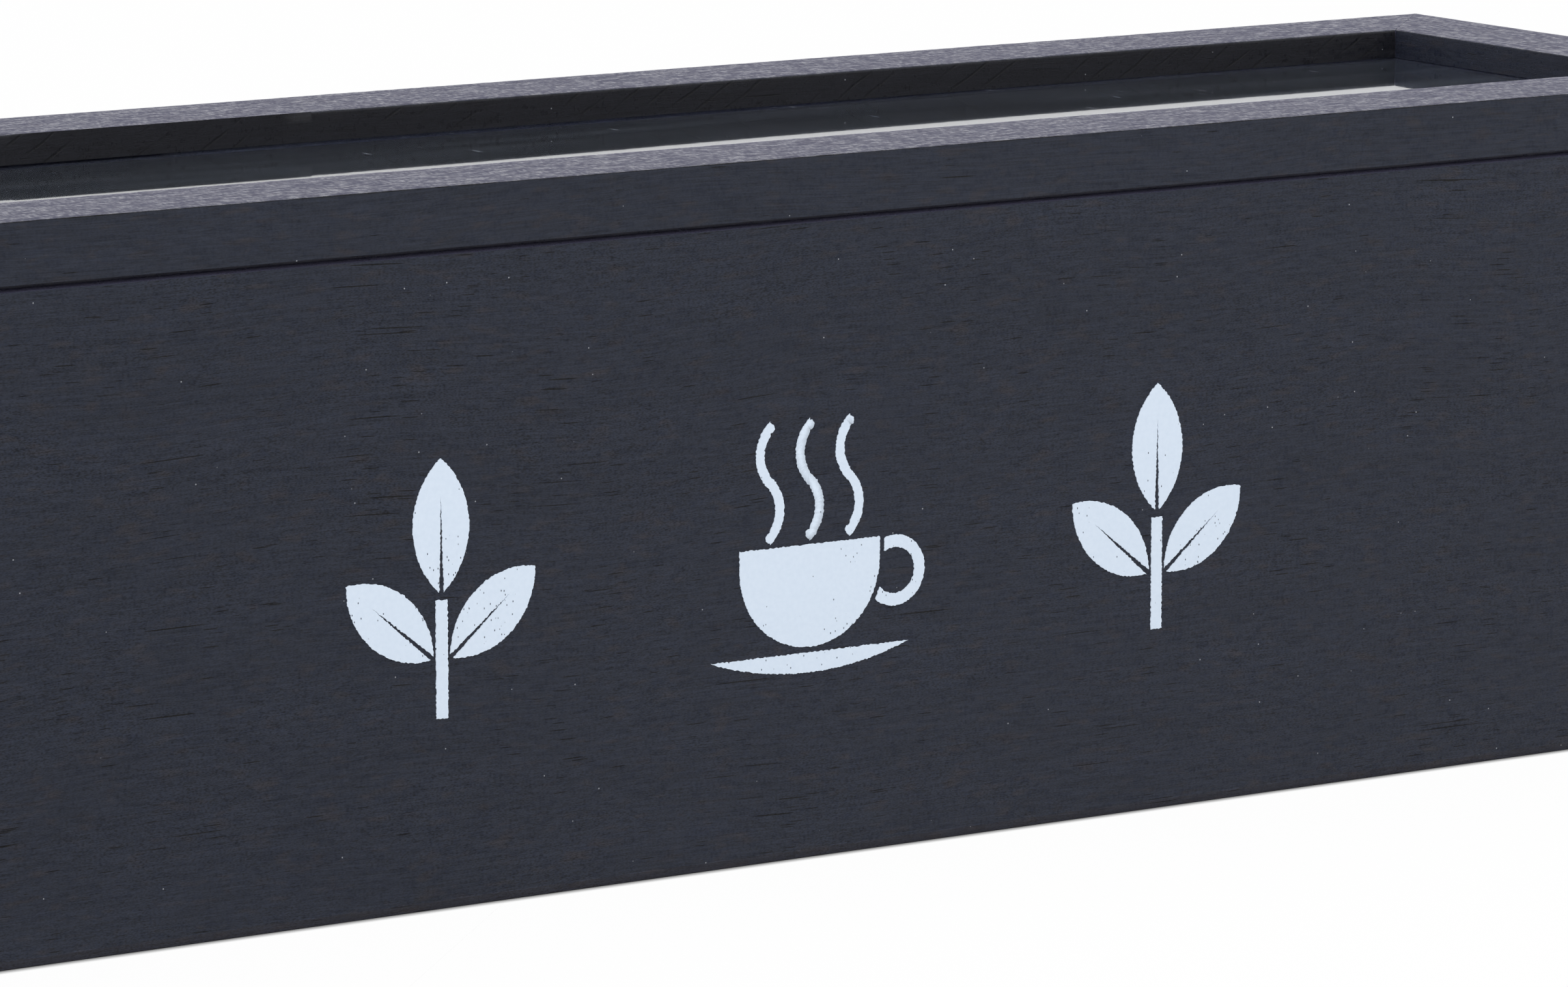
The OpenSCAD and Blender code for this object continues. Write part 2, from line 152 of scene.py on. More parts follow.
class WoodSettings(bpy.types.PropertyGroup):
    """Stained boards"""

    stain: colour_setting("Stain", "Colour of the blue-black stain on sanded wood", "#212530")
    pore: colour_setting("Pores", "Colour of the open pores, where the stain stands", "#020203")
    # The soaked colour is also laid as painted shade on faces turned down, in part on the sawn face, and
    # on the inner boards
    soaked_and_shaded: colour_setting(
        "Soaked stain", "Colour of end grain and of faces left as sawn, which drink more stain",
        "#17171B",
    )
    bare: colour_setting(
        "Thin stain", "Colour where the brown of the wood shows through the stain", "#352D29",
    )
    nap_t: length_setting("Nap", "Width of the fine raised nap that sanding leaves", 0.12, 0.05, 1)
    nap_l: length_setting(
        "Nap length", "Length of the fine raised nap along the grain", 0.36, 0.1, 5,
    )
    fibre_t: length_setting(
        "Fibre thickness", "Thickness of one thread of the grain", 0.17, 0.05, 2,
    )
    fibre_l: length_setting("Fibre length", "Length of one thread of the grain", 7, 0.5, 50)
    pore_t: length_setting("Pore width", "Width of the widest open pores", 0.17, 0.02, 0.5)
    pore_l: length_setting("Pore length", "Length of the longest common pores", 3.5, 1, 30)
    rim_ease: length_setting(
        "Rim edges", "Rounding of the outer edges where a long panel meets the lid",
        0.08, 0.05, 1,
    )
    inner_ease: length_setting(
        "Inner edges", "Rounding of the panels' inner and end edges", 0.5, 0.2, 1,
    )
    arris: length_setting(
        "Sanded foot", "Height of the sanded arris along the front's lower edge", 1.15, 0.5, 2,
    )
    wander: length_setting(
        "Edge wander", "Depth by which hand sanding makes an edge wander", 0.06, 0, 0.3,
    )
    tear: length_setting(
        "Edge roughness", "Depth of the small torn fibres along an edge", 0.05, 0, 0.2,
    )
    slice_pitch: length_setting(
        "Edge detail", "Distance between the cross-cuts that let an edge wander", 1, 0.5, 10,
    )


class PrintSettings(bpy.types.PropertyGroup):
    """Screen print on the front"""

    ink: colour_setting("Ink", "Colour of the opaque white ink", "#D4E0EE")
    mesh: length_setting(
        "Screen mesh", "Distance between the threads of the printing screen", 0.3, 0.1, 1,
    )
    ragged: length_setting(
        "Ragged edge", "Depth of the steps that the screen leaves in an outline", 0.1, 0, 0.3,
    )


class WindowSettings(bpy.types.PropertyGroup):
    """Clear window of the lid"""

    tint: colour_setting("Tint", "Colour of the clear acrylic", "#D6E0F0")
    bow: length_setting(
        "Bow", "Height by which the sheet rises in its groove towards the right", 0.2, 0, 0.3,
    )
    sag: length_setting(
        "Sag", "Depth by which the sheet hangs through between the long rails", 0.02, 0, 0.5,
    )
    edge: length_setting(
        "Scraped edge", "Width of the scraped edges of the sheet", 0.15, 0.05, 0.5,
    )


class HardwareSettings(bpy.types.PropertyGroup):
    """Hinges, screws and brads"""

    nickel: colour_setting("Nickel", "Colour of the nickel plating", "#C6C0B6")
    steel: colour_setting("Steel", "Colour of the drawn wire of the brads", "#A9A9AC")
    edge: length_setting(
        "Blanked edges", "Rounding that tumbling leaves on the blanked edges", 0.08, 0.02, 0.2,
    )


class StageSettings(bpy.types.PropertyGroup):
    """Floor, light and camera"""

    floor: colour_setting("Floor", "Colour of the floor", "#FAFAFB")
    contact: length_setting(
        "Contact shadow", "Width of the dark line where the box stands on the floor", 1.6, 0, 20,
    )
    key: bpy.props.FloatProperty(
        name="Softbox",
        description="Power of the large softbox over the box",
        unit="POWER",
        default=13,
        min=0,
        max=200,
    )
    air: bpy.props.FloatProperty(
        name="Room light",
        description="Strength of the even white light of the room on the object",
        default=0.8,
        min=0,
        max=2,
    )
    lens: bpy.props.FloatProperty(
        name="Focal length",
        description="Focal length on a sensor 36 mm wide",
        subtype="DISTANCE_CAMERA",
        default=173.98,
        min=20,
        max=400,
    )


class TeaBoxSettings(bpy.types.PropertyGroup):
    """All settings of the box"""

    wood: bpy.props.PointerProperty(type=WoodSettings, name="Boards")
    print: bpy.props.PointerProperty(type=PrintSettings, name="Print")
    window: bpy.props.PointerProperty(type=WindowSettings, name="Window")
    hardware: bpy.props.PointerProperty(type=HardwareSettings, name="Hardware")
    stage: bpy.props.PointerProperty(type=StageSettings, name="Stage")


def deselect():
    """Leave object mode's selection empty, so that the next operator meets only its own piece."""
    if bpy.context.object and bpy.context.object.mode != "OBJECT":
        bpy.ops.object.mode_set(mode="OBJECT")
    bpy.ops.object.select_all(action="DESELECT")


def activate(piece):
    """Make the piece the only selected object and the active one."""
    deselect()
    piece.select_set(True)
    bpy.context.view_layer.objects.active = piece


def place(name):
    """Name the active object and move its place into its mesh."""
    bpy.ops.object.transform_apply(location=True, rotation=True, scale=True)
    piece = bpy.context.object
    piece.name = name
    piece.data.name = name
    return piece


def block(name, low, high):
    """Add a box between two corners."""
    low = Vector(low)
    high = Vector(high)
    deselect()
    bpy.ops.mesh.primitive_cube_add(size=1, location=(low + high) / 2, scale=high - low)
    return place(name)


def rod(name, start, end, radius, vertices=24, end_radius=None):
    """Add a round bar from start to end, tapered if it has an end radius."""
    start = Vector(start)
    way = Vector(end) - start
    deselect()
    bpy.ops.mesh.primitive_cone_add(
        vertices=vertices,
        radius1=radius,
        radius2=radius if end_radius is None else end_radius,
        depth=way.length,
        location=start + way / 2,
        rotation=way.to_track_quat("Z", "Y").to_euler(),
    )
    return place(name)


def pick(piece, kind, test, allow_none=False):
    """Select in edit mode the vertices, edges or faces that pass the test."""
    activate(piece)
    bpy.ops.object.mode_set(mode="EDIT")
    bpy.ops.mesh.select_mode(type=kind)
    bpy.ops.mesh.select_all(action="DESELECT")
    shape = bmesh.from_edit_mesh(piece.data)
    parts = {"VERT": shape.verts, "EDGE": shape.edges, "FACE": shape.faces}[kind]
    chosen = [part for part in parts if test(part)]
    if not chosen and not allow_none:
        raise RuntimeError(f"nothing to select on {piece.name}")
    for part in chosen:
        part.select_set(True)
    bmesh.update_edit_mesh(piece.data)
    return len(chosen)


def middle(edge):
    return (edge.verts[0].co + edge.verts[1].co) / 2


def runs_along(edge, axis, shortest=0.0):
    """Whether an edge is parallel to an axis and longer than the shortest length."""
    way = edge.verts[1].co - edge.verts[0].co
    return way.length > shortest and abs(way[axis]) > 0.9999 * way.length


def extrude(way):
    """Pull the selected faces out by the given move."""
    bpy.ops.mesh.extrude_region_move(TRANSFORM_OT_translate={"value": way})


def ease(piece, radius, test, segments=4):
    """Round the edges that pass the test."""
    pick(piece, "EDGE", test)
    bpy.ops.mesh.bevel(
        offset=radius, offset_type="OFFSET", segments=segments, profile=0.5, affect="EDGES",
        clamp_overlap=False,
    )


def saw(piece, place_on_plane, normal, keep_all=False):
    """Cut the piece along a plane, and drop what lies on the side that the normal points to."""
    activate(piece)
    bpy.ops.object.mode_set(mode="EDIT")
    bpy.ops.mesh.select_all(action="SELECT")
    bpy.ops.mesh.bisect(
        plane_co=place_on_plane, plane_no=Vector(normal).normalized(), threshold=0.000001,
        use_fill=not keep_all, clear_outer=not keep_all,
    )
    bpy.ops.object.mode_set(mode="OBJECT")


def guides(piece, axis, heights):
    """Score the faces along a board, so that what is inboard of these lines stays flat."""
    for height in heights:
        saw(piece, AXES[axis] * height, AXES[axis], keep_all=True)


def slices(piece, axis, pitch):
    """Cross-cut the long strips of a board, so that its edges can wander."""
    pieces_of_ten = max(2, math.ceil(piece.dimensions[axis] / pitch / 10))
    for cuts in (9, pieces_of_ten - 1):
        pick(piece, "EDGE", lambda edge: runs_along(edge, axis, 5 * MM))
        bpy.ops.mesh.subdivide(number_cuts=cuts)
    bpy.ops.object.mode_set(mode="OBJECT")


def sand(piece, group_test, settings, grit):
    """Take a little wood off at the edges, as sanding by hand and torn fibres do."""
    activate(piece)
    group = piece.vertex_groups.new(name="edges")
    group.add([v.index for v in piece.data.vertices if group_test(v.co)], 1.0, "ADD")
    for size, depth in ((17 * MM, settings.wander), (1.3 * MM, settings.tear)):
        texture = bpy.data.textures.new("sanding", "CLOUDS")
        texture.noise_scale = size * grit
        texture.noise_depth = 1
        change = piece.modifiers.new("sanding", "DISPLACE")
        change.texture = texture
        change.texture_coords = "LOCAL"
        change.vertex_group = group.name
        change.mid_level = 0
        change.strength = -depth
        bpy.ops.object.modifier_apply(modifier=change.name)
    piece.vertex_groups.clear()


def join(parts):
    """Join several meshes into the first."""
    deselect()
    for part in parts:
        part.select_set(True)
    bpy.context.view_layer.objects.active = parts[0]
    if len(parts) > 1:
        bpy.ops.object.join()
    return parts[0]


def cut(piece, *rounds):
    """Take the cutters' shapes out of the piece, and delete them. Cutters of one round don't touch."""
    for cutters in rounds:
        cutter = join(cutters)
        activate(piece)
        change = piece.modifiers.new("cut", "BOOLEAN")
        change.object = cutter
        change.operation = "DIFFERENCE"
        change.solver = "EXACT"
        bpy.ops.object.modifier_apply(modifier=change.name)
        bpy.data.objects.remove(cutter)


def soften(piece, width, angle=40, segments=2):
    """Round every edge sharper than the angle with a bevel modifier."""
    activate(piece)
    change = piece.modifiers.new("edges", "BEVEL")
    change.width = width
    change.segments = segments
    change.limit_method = "ANGLE"
    change.angle_limit = math.radians(angle)
    bpy.ops.object.modifier_apply(modifier=change.name)


def even_shading(piece, angle=32):
    """Shade the roundings smooth while the flats stay flat."""
    activate(piece)
    bpy.ops.object.shade_smooth_by_angle(angle=math.radians(angle))
    change = piece.modifiers.new("even shading", "WEIGHTED_NORMAL")
    change.keep_sharp = True
    change.weight = 100
    bpy.ops.object.modifier_apply(modifier=change.name)


def fit(piece, material, body, slot, *nodes):
    """Give a finished piece its material and its body, and hide the imported nodes that it stands for.
    The slot is not used.
    """
    piece.data.materials.clear()
    piece.data.materials.append(material)
    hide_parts(*nodes)
    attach(piece, body)


def node(tree, kind, inputs=(), **settings):
    """Add a node with its settings. The inputs go by the sockets' order, or by socket.

    An input that is itself a node stands for the first of its outputs that is in use.
    """
    made = tree.nodes.new("ShaderNode" + kind)
    for name, value in settings.items():
        setattr(made, name, value)
    for name, value in inputs.items() if isinstance(inputs, dict) else enumerate(inputs):
        if isinstance(value, bpy.types.Node):
            value = next(output for output in value.outputs if output.enabled)
        if isinstance(value, bpy.types.NodeSocket):
            tree.links.new(value, made.inputs[name])
        else:
            made.inputs[name].default_value = value
    return made


def new_material(name, turn=(0, 0, 0), shift=(0, 0, 0)):
    """Start a material, and give it with what adds its nodes and with the piece's coordinates.

    The last value is the piece's own coordinates in millimetres, turned and shifted.
    """
    material = bpy.data.materials.new(name)
    material.use_nodes = True
    material.node_tree.nodes.clear()
    add = partial(node, material.node_tree)
    place_of = add("TexCoord")
    mm = add("Mapping", (place_of.outputs["Object"], shift, turn, (1 / MM, 1 / MM, 1 / MM)))
    return material, add, place_of, mm


def opaque(colour):
    return (*colour, 1.0)


def stained_wood(name, settings, along=X, shift=(0, 0, 0), pores=1.0, nap=1.0, marks=(), overall_shade=0.0):
    """Close-grained hardwood, sawn, sanded and wiped with a thin blue-black stain.

    The stain dulls the wood, stands darker in the open pores and is worn thin in a few warm
    patches. Sanding leaves a fine nap along the grain that catches light seen at a low angle.
    The marks name what else this board shows: "sawn", "crest" or "foot". The last value is the
    share of the soaked colour laid all over a board as painted shade, for boards inside the box.
    """
    # Millimetres, with the grain along the pattern's own x
    turn = (0, 0, -math.pi / 2 if along == Y else 0)
    material, add, place_of, mm = new_material(name, turn, shift)
    bend = add("TexNoise", {"Vector": mm, "Scale": 0.016, "Detail": 1.0})
    swing = add("VectorMath", (bend.outputs["Color"], (0, 5, 5)), operation="MULTIPLY")
    grain = add("VectorMath", (mm, swing), operation="ADD")

    def streaks(length, width, detail=2.0):
        """Noise drawn out along the grain, its grains as long and as wide as given."""
        drawn = add("Mapping", {
            "Vector": grain,
            "Scale": (MM / length, MM / width, MM / width),
        })
        return add("TexNoise", {"Vector": drawn, "Scale": 1.0, "Detail": detail})

    open_grained = streaks(35 * MM, 8 * MM, 1.0)

    def pores_of(length, width, fewest, most):
        """Open pores: each lies in one cell of a cell pattern, and a share of the cells has one."""
        cells = add("Mapping", {
            "Vector": grain,
            "Scale": (0.5 * MM / length, 0.5 * MM / width, 0.5 * MM / width),
        })
        pore = add("TexVoronoi", {"Vector": cells, "Scale": 1.0})
        lot = add("SeparateColor", (pore.outputs["Color"],))
        share = add("MapRange", (open_grained, 0.4, 0.68, fewest * pores, most * pores))
        kept = add("Math", (lot, share), operation="LESS_THAN")
        reach = add("MapRange", (lot.outputs[1], 0.0, 1.0, 0.08, 0.25))
        inside = add("Math", (reach, pore), operation="SUBTRACT")
        shape = add("MapRange", (inside, 0.0, 0.06, 0.0, 1.0))
        return add("Math", (kept, shape), operation="MULTIPLY")

    common = pores_of(settings.pore_l, settings.pore_t, 0.08, 0.8)
    long = pores_of(4 * settings.pore_l, 1.2 * settings.pore_t, 0.03, 0.4)
    open_pore = add("Math", (common, long), operation="MAXIMUM")

    warm = add("MapRange", (streaks(4 * MM, 1.2 * MM), 0.56, 0.74, 0.0, 0.3))
    # Dust: grains about 0.2 mm wide, one in about three square centimetres
    motes = add("TexVoronoi", {"Vector": mm, "Scale": 0.3})
    dust = add("MapRange", (motes, 0.022, 0.034, 0.5, 0.0))

    # End grain drinks more stain; the same dark colour is laid on other faces as painted shade
    facing = add("SeparateXYZ", (place_of.outputs["Normal"],))
    to_end = add("Math", (facing.outputs[along],), operation="ABSOLUTE")
    soaked_and_shaded = add("MapRange", (to_end, 0.75, 0.95, 0.0, 0.85))
    # The sawn inner face drinks more stain, and is partly darkened as painted shade for the lid's dim
    # inside
    if "sawn" in marks:
        on_inner = add("MapRange", (facing.outputs["Y"], -0.5, -0.9, 0.0, 0.9))
        soaked_and_shaded = add("Math", (soaked_and_shaded, on_inner), operation="MAXIMUM")
    # Painted shade: faces turned down get the dark colour, and a board's overall share darkens all of it
    below = add("MapRange", (facing.outputs["Z"], -0.35, -0.6, overall_shade, 0.9))
    soaked_and_shaded = add("Math", (soaked_and_shaded, below), operation="MAXIMUM")

    # The nap is rougher in some stretches of a board than in others
    coarse = add("MapRange", (streaks(18 * MM, 9 * MM, 1.0), 0.35, 0.65, 0.75, 1.25))
    raised = streaks(settings.nap_l, settings.nap_t, 0.0)
    raised = add("MapRange", (raised, 0.2, 0.62, -0.44 * nap, 0.24 * nap))
    nap_part = add("Math", (raised, coarse), operation="MULTIPLY")
    fibres = streaks(settings.fibre_l, settings.fibre_t)
    fibre_tone = add("MapRange", (fibres, 0.3, 0.7, 0.74, 1.26))
    band_tone = add("MapRange", (streaks(50 * MM, 4 * MM), 0.3, 0.7, 0.95, 1.05))
    tone = add("Math", (fibre_tone, band_tone), operation="MULTIPLY")
    tone = add("Math", (tone, nap_part), operation="ADD")
    tone = add("Math", (tone, 0.1), operation="MAXIMUM")
    colour = add("Mix", {
        0: warm, 6: opaque(settings.stain), 7: opaque(settings.bare),
    }, data_type="RGBA")
    colour = add("Mix", {0: soaked_and_shaded, 6: colour, 7: opaque(settings.soaked_and_shaded)}, data_type="RGBA")
    colour = add("VectorMath", {0: colour, "Scale": tone}, operation="SCALE")
    relief = add("Math", (fibres, 0.6), operation="MULTIPLY")
    relief = add("Math", (nap_part, 0.8, relief), operation="MULTIPLY_ADD")
    relief = add("Math", (open_pore, -1.5, relief), operation="MULTIPLY_ADD")

    if "sawn" in marks:
        # Marks of the saw, some 2.5 mm apart, rise to the right on the rail's inner face
        lean = add("Mapping", {
            "Vector": mm,
            "Rotation": (0, math.radians(-58), 0),
            "Scale": (1, 0, 1),
        })
        teeth = add("TexWave", {
            "Vector": lean,
            "Scale": 0.126,
            "Distortion": 2.5,
            "Detail": 2.0,
            "Detail Scale": 0.6,
        }, wave_type="BANDS", bands_direction="X")
        notch = add("MapRange", (teeth.outputs["Fac"], 0.0, 0.07, 1.0, 0.0))
        deep = add("MapRange", (streaks(9 * MM, 4 * MM), 0.42, 0.62, 0.0, 1.0))
        on_inner = add("MapRange", (facing.outputs["Y"], -0.5, -0.9, 0.0, 1.0))
        for part in (deep, on_inner):
            notch = add("Math", (notch, part), operation="MULTIPLY")
        shade = add("MapRange", (notch, 0.0, 1.0, 1.0, 0.45))
        colour = add("VectorMath", {0: colour, "Scale": shade}, operation="SCALE")
        relief = add("Math", (notch, -1.5, relief), operation="MULTIPLY_ADD")

    spot = add("SeparateXYZ", (place_of.outputs["Object"],))
    ragged = streaks(2.5 * MM, 0.8 * MM)
    if "crest" in marks:
        # A thin dark line runs along the upper front edge, with breaks
        off_y = add("Math", (spot.outputs["Y"], -HALF_D), operation="SUBTRACT")
        off_z = add("Math", (spot.outputs["Z"], TOP_Z), operation="SUBTRACT")
        off = add("Math", (off_z, off_z), operation="MULTIPLY")
        off = add("Math", (off_y, off_y, off), operation="MULTIPLY_ADD")
        off = add("Math", (off,), operation="SQRT")
        near = add("MapRange", (off, 0.12 * MM, 0.22 * MM, 1.0, 0.0))
        unbroken = add("MapRange", (ragged, 0.4, 0.5, 0.35, 1.0))
        edge_line = add("Math", (near, unbroken), operation="MULTIPLY")
        colour = add("Mix", {0: edge_line, 6: colour, 7: opaque(settings.pore)}, data_type="RGBA")
    if "foot" in marks:
        # The sanded arris has lost stain, and its colour is lighter along its crest, with breaks
        level = add("Math", (ragged, 0.35 * MM, spot.outputs["Z"]), operation="MULTIPLY_ADD")
        over = add("Math", (level, settings.arris + 0.17 * MM), operation="SUBTRACT")
        worn = add("MapRange", (over, -0.08 * MM, 0.04 * MM, 0.2, 0.0))
        colour = add("Mix", {0: worn, 6: colour, 7: opaque(settings.bare)}, data_type="RGBA")
        off = add("Math", (over,), operation="ABSOLUTE")
        crest = add("MapRange", (off, 0.03 * MM, 0.09 * MM, 1.0, 0.0))
        broken = add("MapRange", (streaks(5 * MM, 1.5 * MM, 3.0), 0.5, 0.62, 0.0, 1.0))
        crest = add("Math", (crest, broken), operation="MULTIPLY")
        crest = add("Math", (crest, 0.6, 1.0), operation="MULTIPLY_ADD")
        colour = add("VectorMath", {0: colour, "Scale": crest}, operation="SCALE")

    colour = add("Mix", {0: open_pore, 6: colour, 7: opaque(settings.pore)}, data_type="RGBA")
    colour = add("Mix", {0: dust, 6: colour, 7: opaque(linear("#B9BCC2"))}, data_type="RGBA")
    bump = add("Bump", {"Strength": 1.0, "Distance": 0.022 * MM, "Height": relief})
    # Seen along a face, the wiped stain shines in small uneven touches
    small = streaks(0.4 * MM, 0.9 * MM, 1.0)
    large = streaks(2.5 * MM, 0.7 * MM, 1.0)
    touches = add("Math", (small, large), operation="ADD")
    shader = add("BsdfPrincipled", {
        "Base Color": colour,
        "Roughness": add("MapRange", (touches, 0.75, 1.25, 0.72, 0.26)),
        "Normal": bump,
        "IOR": 1.5,
        "Specular IOR Level": 0.22,
        "Sheen Weight": 0.25,
        "Sheen Roughness": 0.35,
        "Sheen Tint": opaque(linear("#D0CCFC")),
    })
    add("OutputMaterial", (shader,))
    return material


def screen_ink(name, settings, wood):
    """Opaque white screen ink, printed through a mesh and dried matt.

    The stain shows through in small specks where the wood's pores took no ink.
    """
    material, add, _, mm = new_material(name)
    # Specks lean to the right and are about twice as long as wide
    lean = add("Mapping", {
        "Vector": mm,
        "Rotation": (0, math.radians(35), 0),
        "Scale": (3.4, 0.5, 1.9),
    })
    cells = add("TexVoronoi", {"Vector": lean, "Scale": 1.0})
    lot = add("SeparateColor", (cells.outputs["Color"],))
    zones = add("Mapping", {"Vector": mm, "Scale": (0.3, 0.1, 0.14)})
    zones = add("TexNoise", {"Vector": zones, "Scale": 1.0, "Detail": 3.0})
    share = add("MapRange", (zones, 0.5, 0.78, 0.006, 0.42))
    missed = add("Math", (lot, share), operation="LESS_THAN")
    size = add("MapRange", (cells, 0.16, 0.3, 1.0, 0.0))
    speck = add("Math", (missed, size), operation="MULTIPLY")
    mottle = add("TexNoise", {"Vector": mm, "Scale": 1.6, "Detail": 3.0})
    film = add("Mix", {
        0: add("MapRange", (mottle, 0.35, 0.75, 0.0, 0.1)),
        6: opaque(settings.ink),
        7: opaque(linear("#9FB4CC")),
    }, data_type="RGBA")
    colour = add("Mix", {
        0: speck,
        6: film,
        7: opaque([c * 1.4 for c in wood.stain]),
    }, data_type="RGBA")
    relief = add("Math", (speck, -3.0, mottle), operation="MULTIPLY_ADD")
    bump = add("Bump", {"Strength": 0.4, "Distance": 0.02 * MM, "Height": relief})
    shader = add("BsdfPrincipled", {
        "Base Color": colour,
        "Roughness": 0.62,
        "Normal": bump,
        "IOR": 1.48,
        "Specular IOR Level": 0.35,
    })
    add("OutputMaterial", (shader,))
    return material


def clear_acrylic(name, settings):
    """Extruded clear acrylic sheet, 2 mm thick, wiped but not clean.

    It mirrors at a low angle and shows the compartments from above. Dust lies on it, with faint
    smears and a few short scratches from front to back.
    """
    material, add, _, mm = new_material(name)
    grains = add("TexVoronoi", {"Vector": mm, "Scale": 0.5})
    dust = add("MapRange", (grains, 0.03, 0.06, 0.5, 0.0))
    lines = add("Mapping", {"Vector": mm, "Scale": (0.45, 0.08, 0.2)})
    lines = add("TexVoronoi", {"Vector": lines, "Scale": 1.0})
    lot = add("SeparateColor", (lines.outputs["Color"],))
    few = add("Math", (lot, 0.16), operation="LESS_THAN")
    thin = add("MapRange", (lines, 0.05, 0.13, 0.35, 0.0))
    scratch = add("Math", (few, thin), operation="MULTIPLY")
    marks = add("Math", (dust, scratch), operation="MAXIMUM")
    wipes = add("Mapping", {"Vector": mm, "Scale": (0.02, 0.3, 0.1)})
    wipes = add("TexNoise", {"Vector": wipes, "Scale": 1.0, "Detail": 4.0})
    smear = add("MapRange", (wipes, 0.45, 0.8, 0.0, 0.03))
    cloudy = add("Math", (marks, smear), operation="ADD")
    shader = add("BsdfPrincipled", {
        "Base Color": opaque(settings.tint),
        "Roughness": 0.025,
        "IOR": 1.49,
        "Transmission Weight": add("MapRange", (cloudy, 0.0, 1.0, 0.985, 0.0)),
    })
    # Lamps shine through the sheet
    through = add("BsdfTransparent", {"Color": opaque(linear("#F4F7FB"))})
    ray = add("LightPath")
    mixed = add("MixShader", (ray.outputs["Is Shadow Ray"], shader, through))
    add("OutputMaterial", (mixed,))
    return material


def plated_metal(name, colour, roughness, line_length, mark_depth):
    """Rolled or drawn steel: a metal with fine drawn lines and a slightly uneven shine."""
    material, add, _, mm = new_material(name)
    lines = add("Mapping", {"Vector": mm, "Scale": (1 / line_length, 9, 9)})
    lines = add("TexNoise", {"Vector": lines, "Scale": 1.0, "Detail": 2.0})
    clouds = add("TexNoise", {"Vector": mm, "Scale": 0.7, "Detail": 3.0})
    uneven = add("Math", (lines, clouds), operation="ADD")
    shade = add("MapRange", (clouds, 0.3, 0.7, 0.88, 1.06))
    shader = add("BsdfPrincipled", {
        "Base Color": add("VectorMath", {0: colour, "Scale": shade}, operation="SCALE"),
        "Metallic": 1.0,
        "Roughness": add("MapRange", (uneven, 0.7, 1.3, roughness * 0.75, roughness * 1.3)),
        "Normal": add("Bump", {"Strength": 0.5, "Distance": mark_depth, "Height": lines}),
    })
    add("OutputMaterial", (shader,))
    return material


def moved_copy(piece, name, move):
    """Copy the piece to the place that the matrix gives, with its faces outwards."""
    activate(piece)
    bpy.ops.object.duplicate()
    twin = bpy.context.object
    twin.data.transform(move)
    if move.determinant() < 0:
        twin.data.flip_normals()
    twin.name = name
    twin.data.name = name
    return twin


def set_out(model, name, moves):
    """Copy a modelled piece to each of the moves, and join the copies under one name."""
    copies = [moved_copy(model, name, move) for move in moves]
    bpy.data.objects.remove(model)
    return join(copies)


def near_long_edge(co, low, high, axis, reach=1.25 * MM):
    """Whether a point lies by one of a board's long edges."""
    near = 0
    for other in (X, Y, Z):
        if other != axis and min(co[other] - low[other], high[other] - co[other]) < reach:
            near += 1
    return near == 2


def cut_for_brads(piece, places, length, sides=(-1, 1)):
    """Drill the holes of the brads, and then the dimples over their heads."""
    for depth, radius, vertices in (
        (length, BRAD_R + PLAY, 16), (BRAD_HEAD_T, BRAD_HEAD_R + PLAY, 20),
    ):
        cut(piece, [
            rod(
                "cutter", (side * (HALF_W + OVER), y, z),
                (side * (HALF_W - BRAD_SINK - depth), y, z), radius, vertices,
            )
            for side in sides for y, z in places
        ])


def cut_for_hinges(piece, up):
    """Cut what the hinges need in the wood below their pins, or above with up = 1."""
    barrels = []
    pockets = []
    pilots = []
    for side in (-1, 1):
        centre = Vector((side * PIN.x, PIN.y, PIN.z))
        reach = Vector((HINGE_W / 2 + PIN_HEAD_T + 0.3 * MM, 0, 0))
        barrels.append(rod("cutter", centre - reach, centre + reach, LEAF_EDGE, 48))
        z = sorted((centre.z + up * (HALF_GAP + LEAF_T), centre.z - up * OVER))
        wide = HINGE_W / 2 + 0.1 * MM
        pockets.append(block(
            "cutter",
            (centre.x - wide, centre.y - LEAF_REACH - 0.1 * MM, z[0]),
            (centre.x + wide, centre.y, z[1]),
        ))
        for x in (-SCREW_X, SCREW_X):
            start = centre + Vector((x, -SCREW_BACK, up * HALF_GAP))
            end = start + Vector((0, 0, up * (SCREW_L + 0.4 * MM)))
            pilots.append(rod("cutter", start, end, SCREW_R + PLAY, 16))
    cut(piece, barrels, pockets, pilots)


def groove_comb(inner, side):
    """The cutter for a long panel's grooves: a bar for the bottom's, with a tooth for each divider."""
    depth = sorted((inner + side * GROOVE_DEPTH, inner - side * OVER))
    comb = block(
        "cutter",
        (-HALF_W - OVER, depth[0], BOTTOM_GROOVE[0]),
        (HALF_W + OVER, depth[1], BOTTOM_GROOVE[1]),
    )
    half_w = DIVIDER_GROOVE / 2
    for x in DIVIDER_X:
        guides(comb, X, (x - half_w, x + half_w))
    pick(comb, "FACE", lambda face: face.normal.z > 0.9 and any(
        abs(face.calc_center_median().x - x) < half_w for x in DIVIDER_X
    ))
    extrude((0, 0, RIM_Z + OVER - BOTTOM_GROOVE[1]))
    bpy.ops.object.mode_set(mode="OBJECT")
    return comb


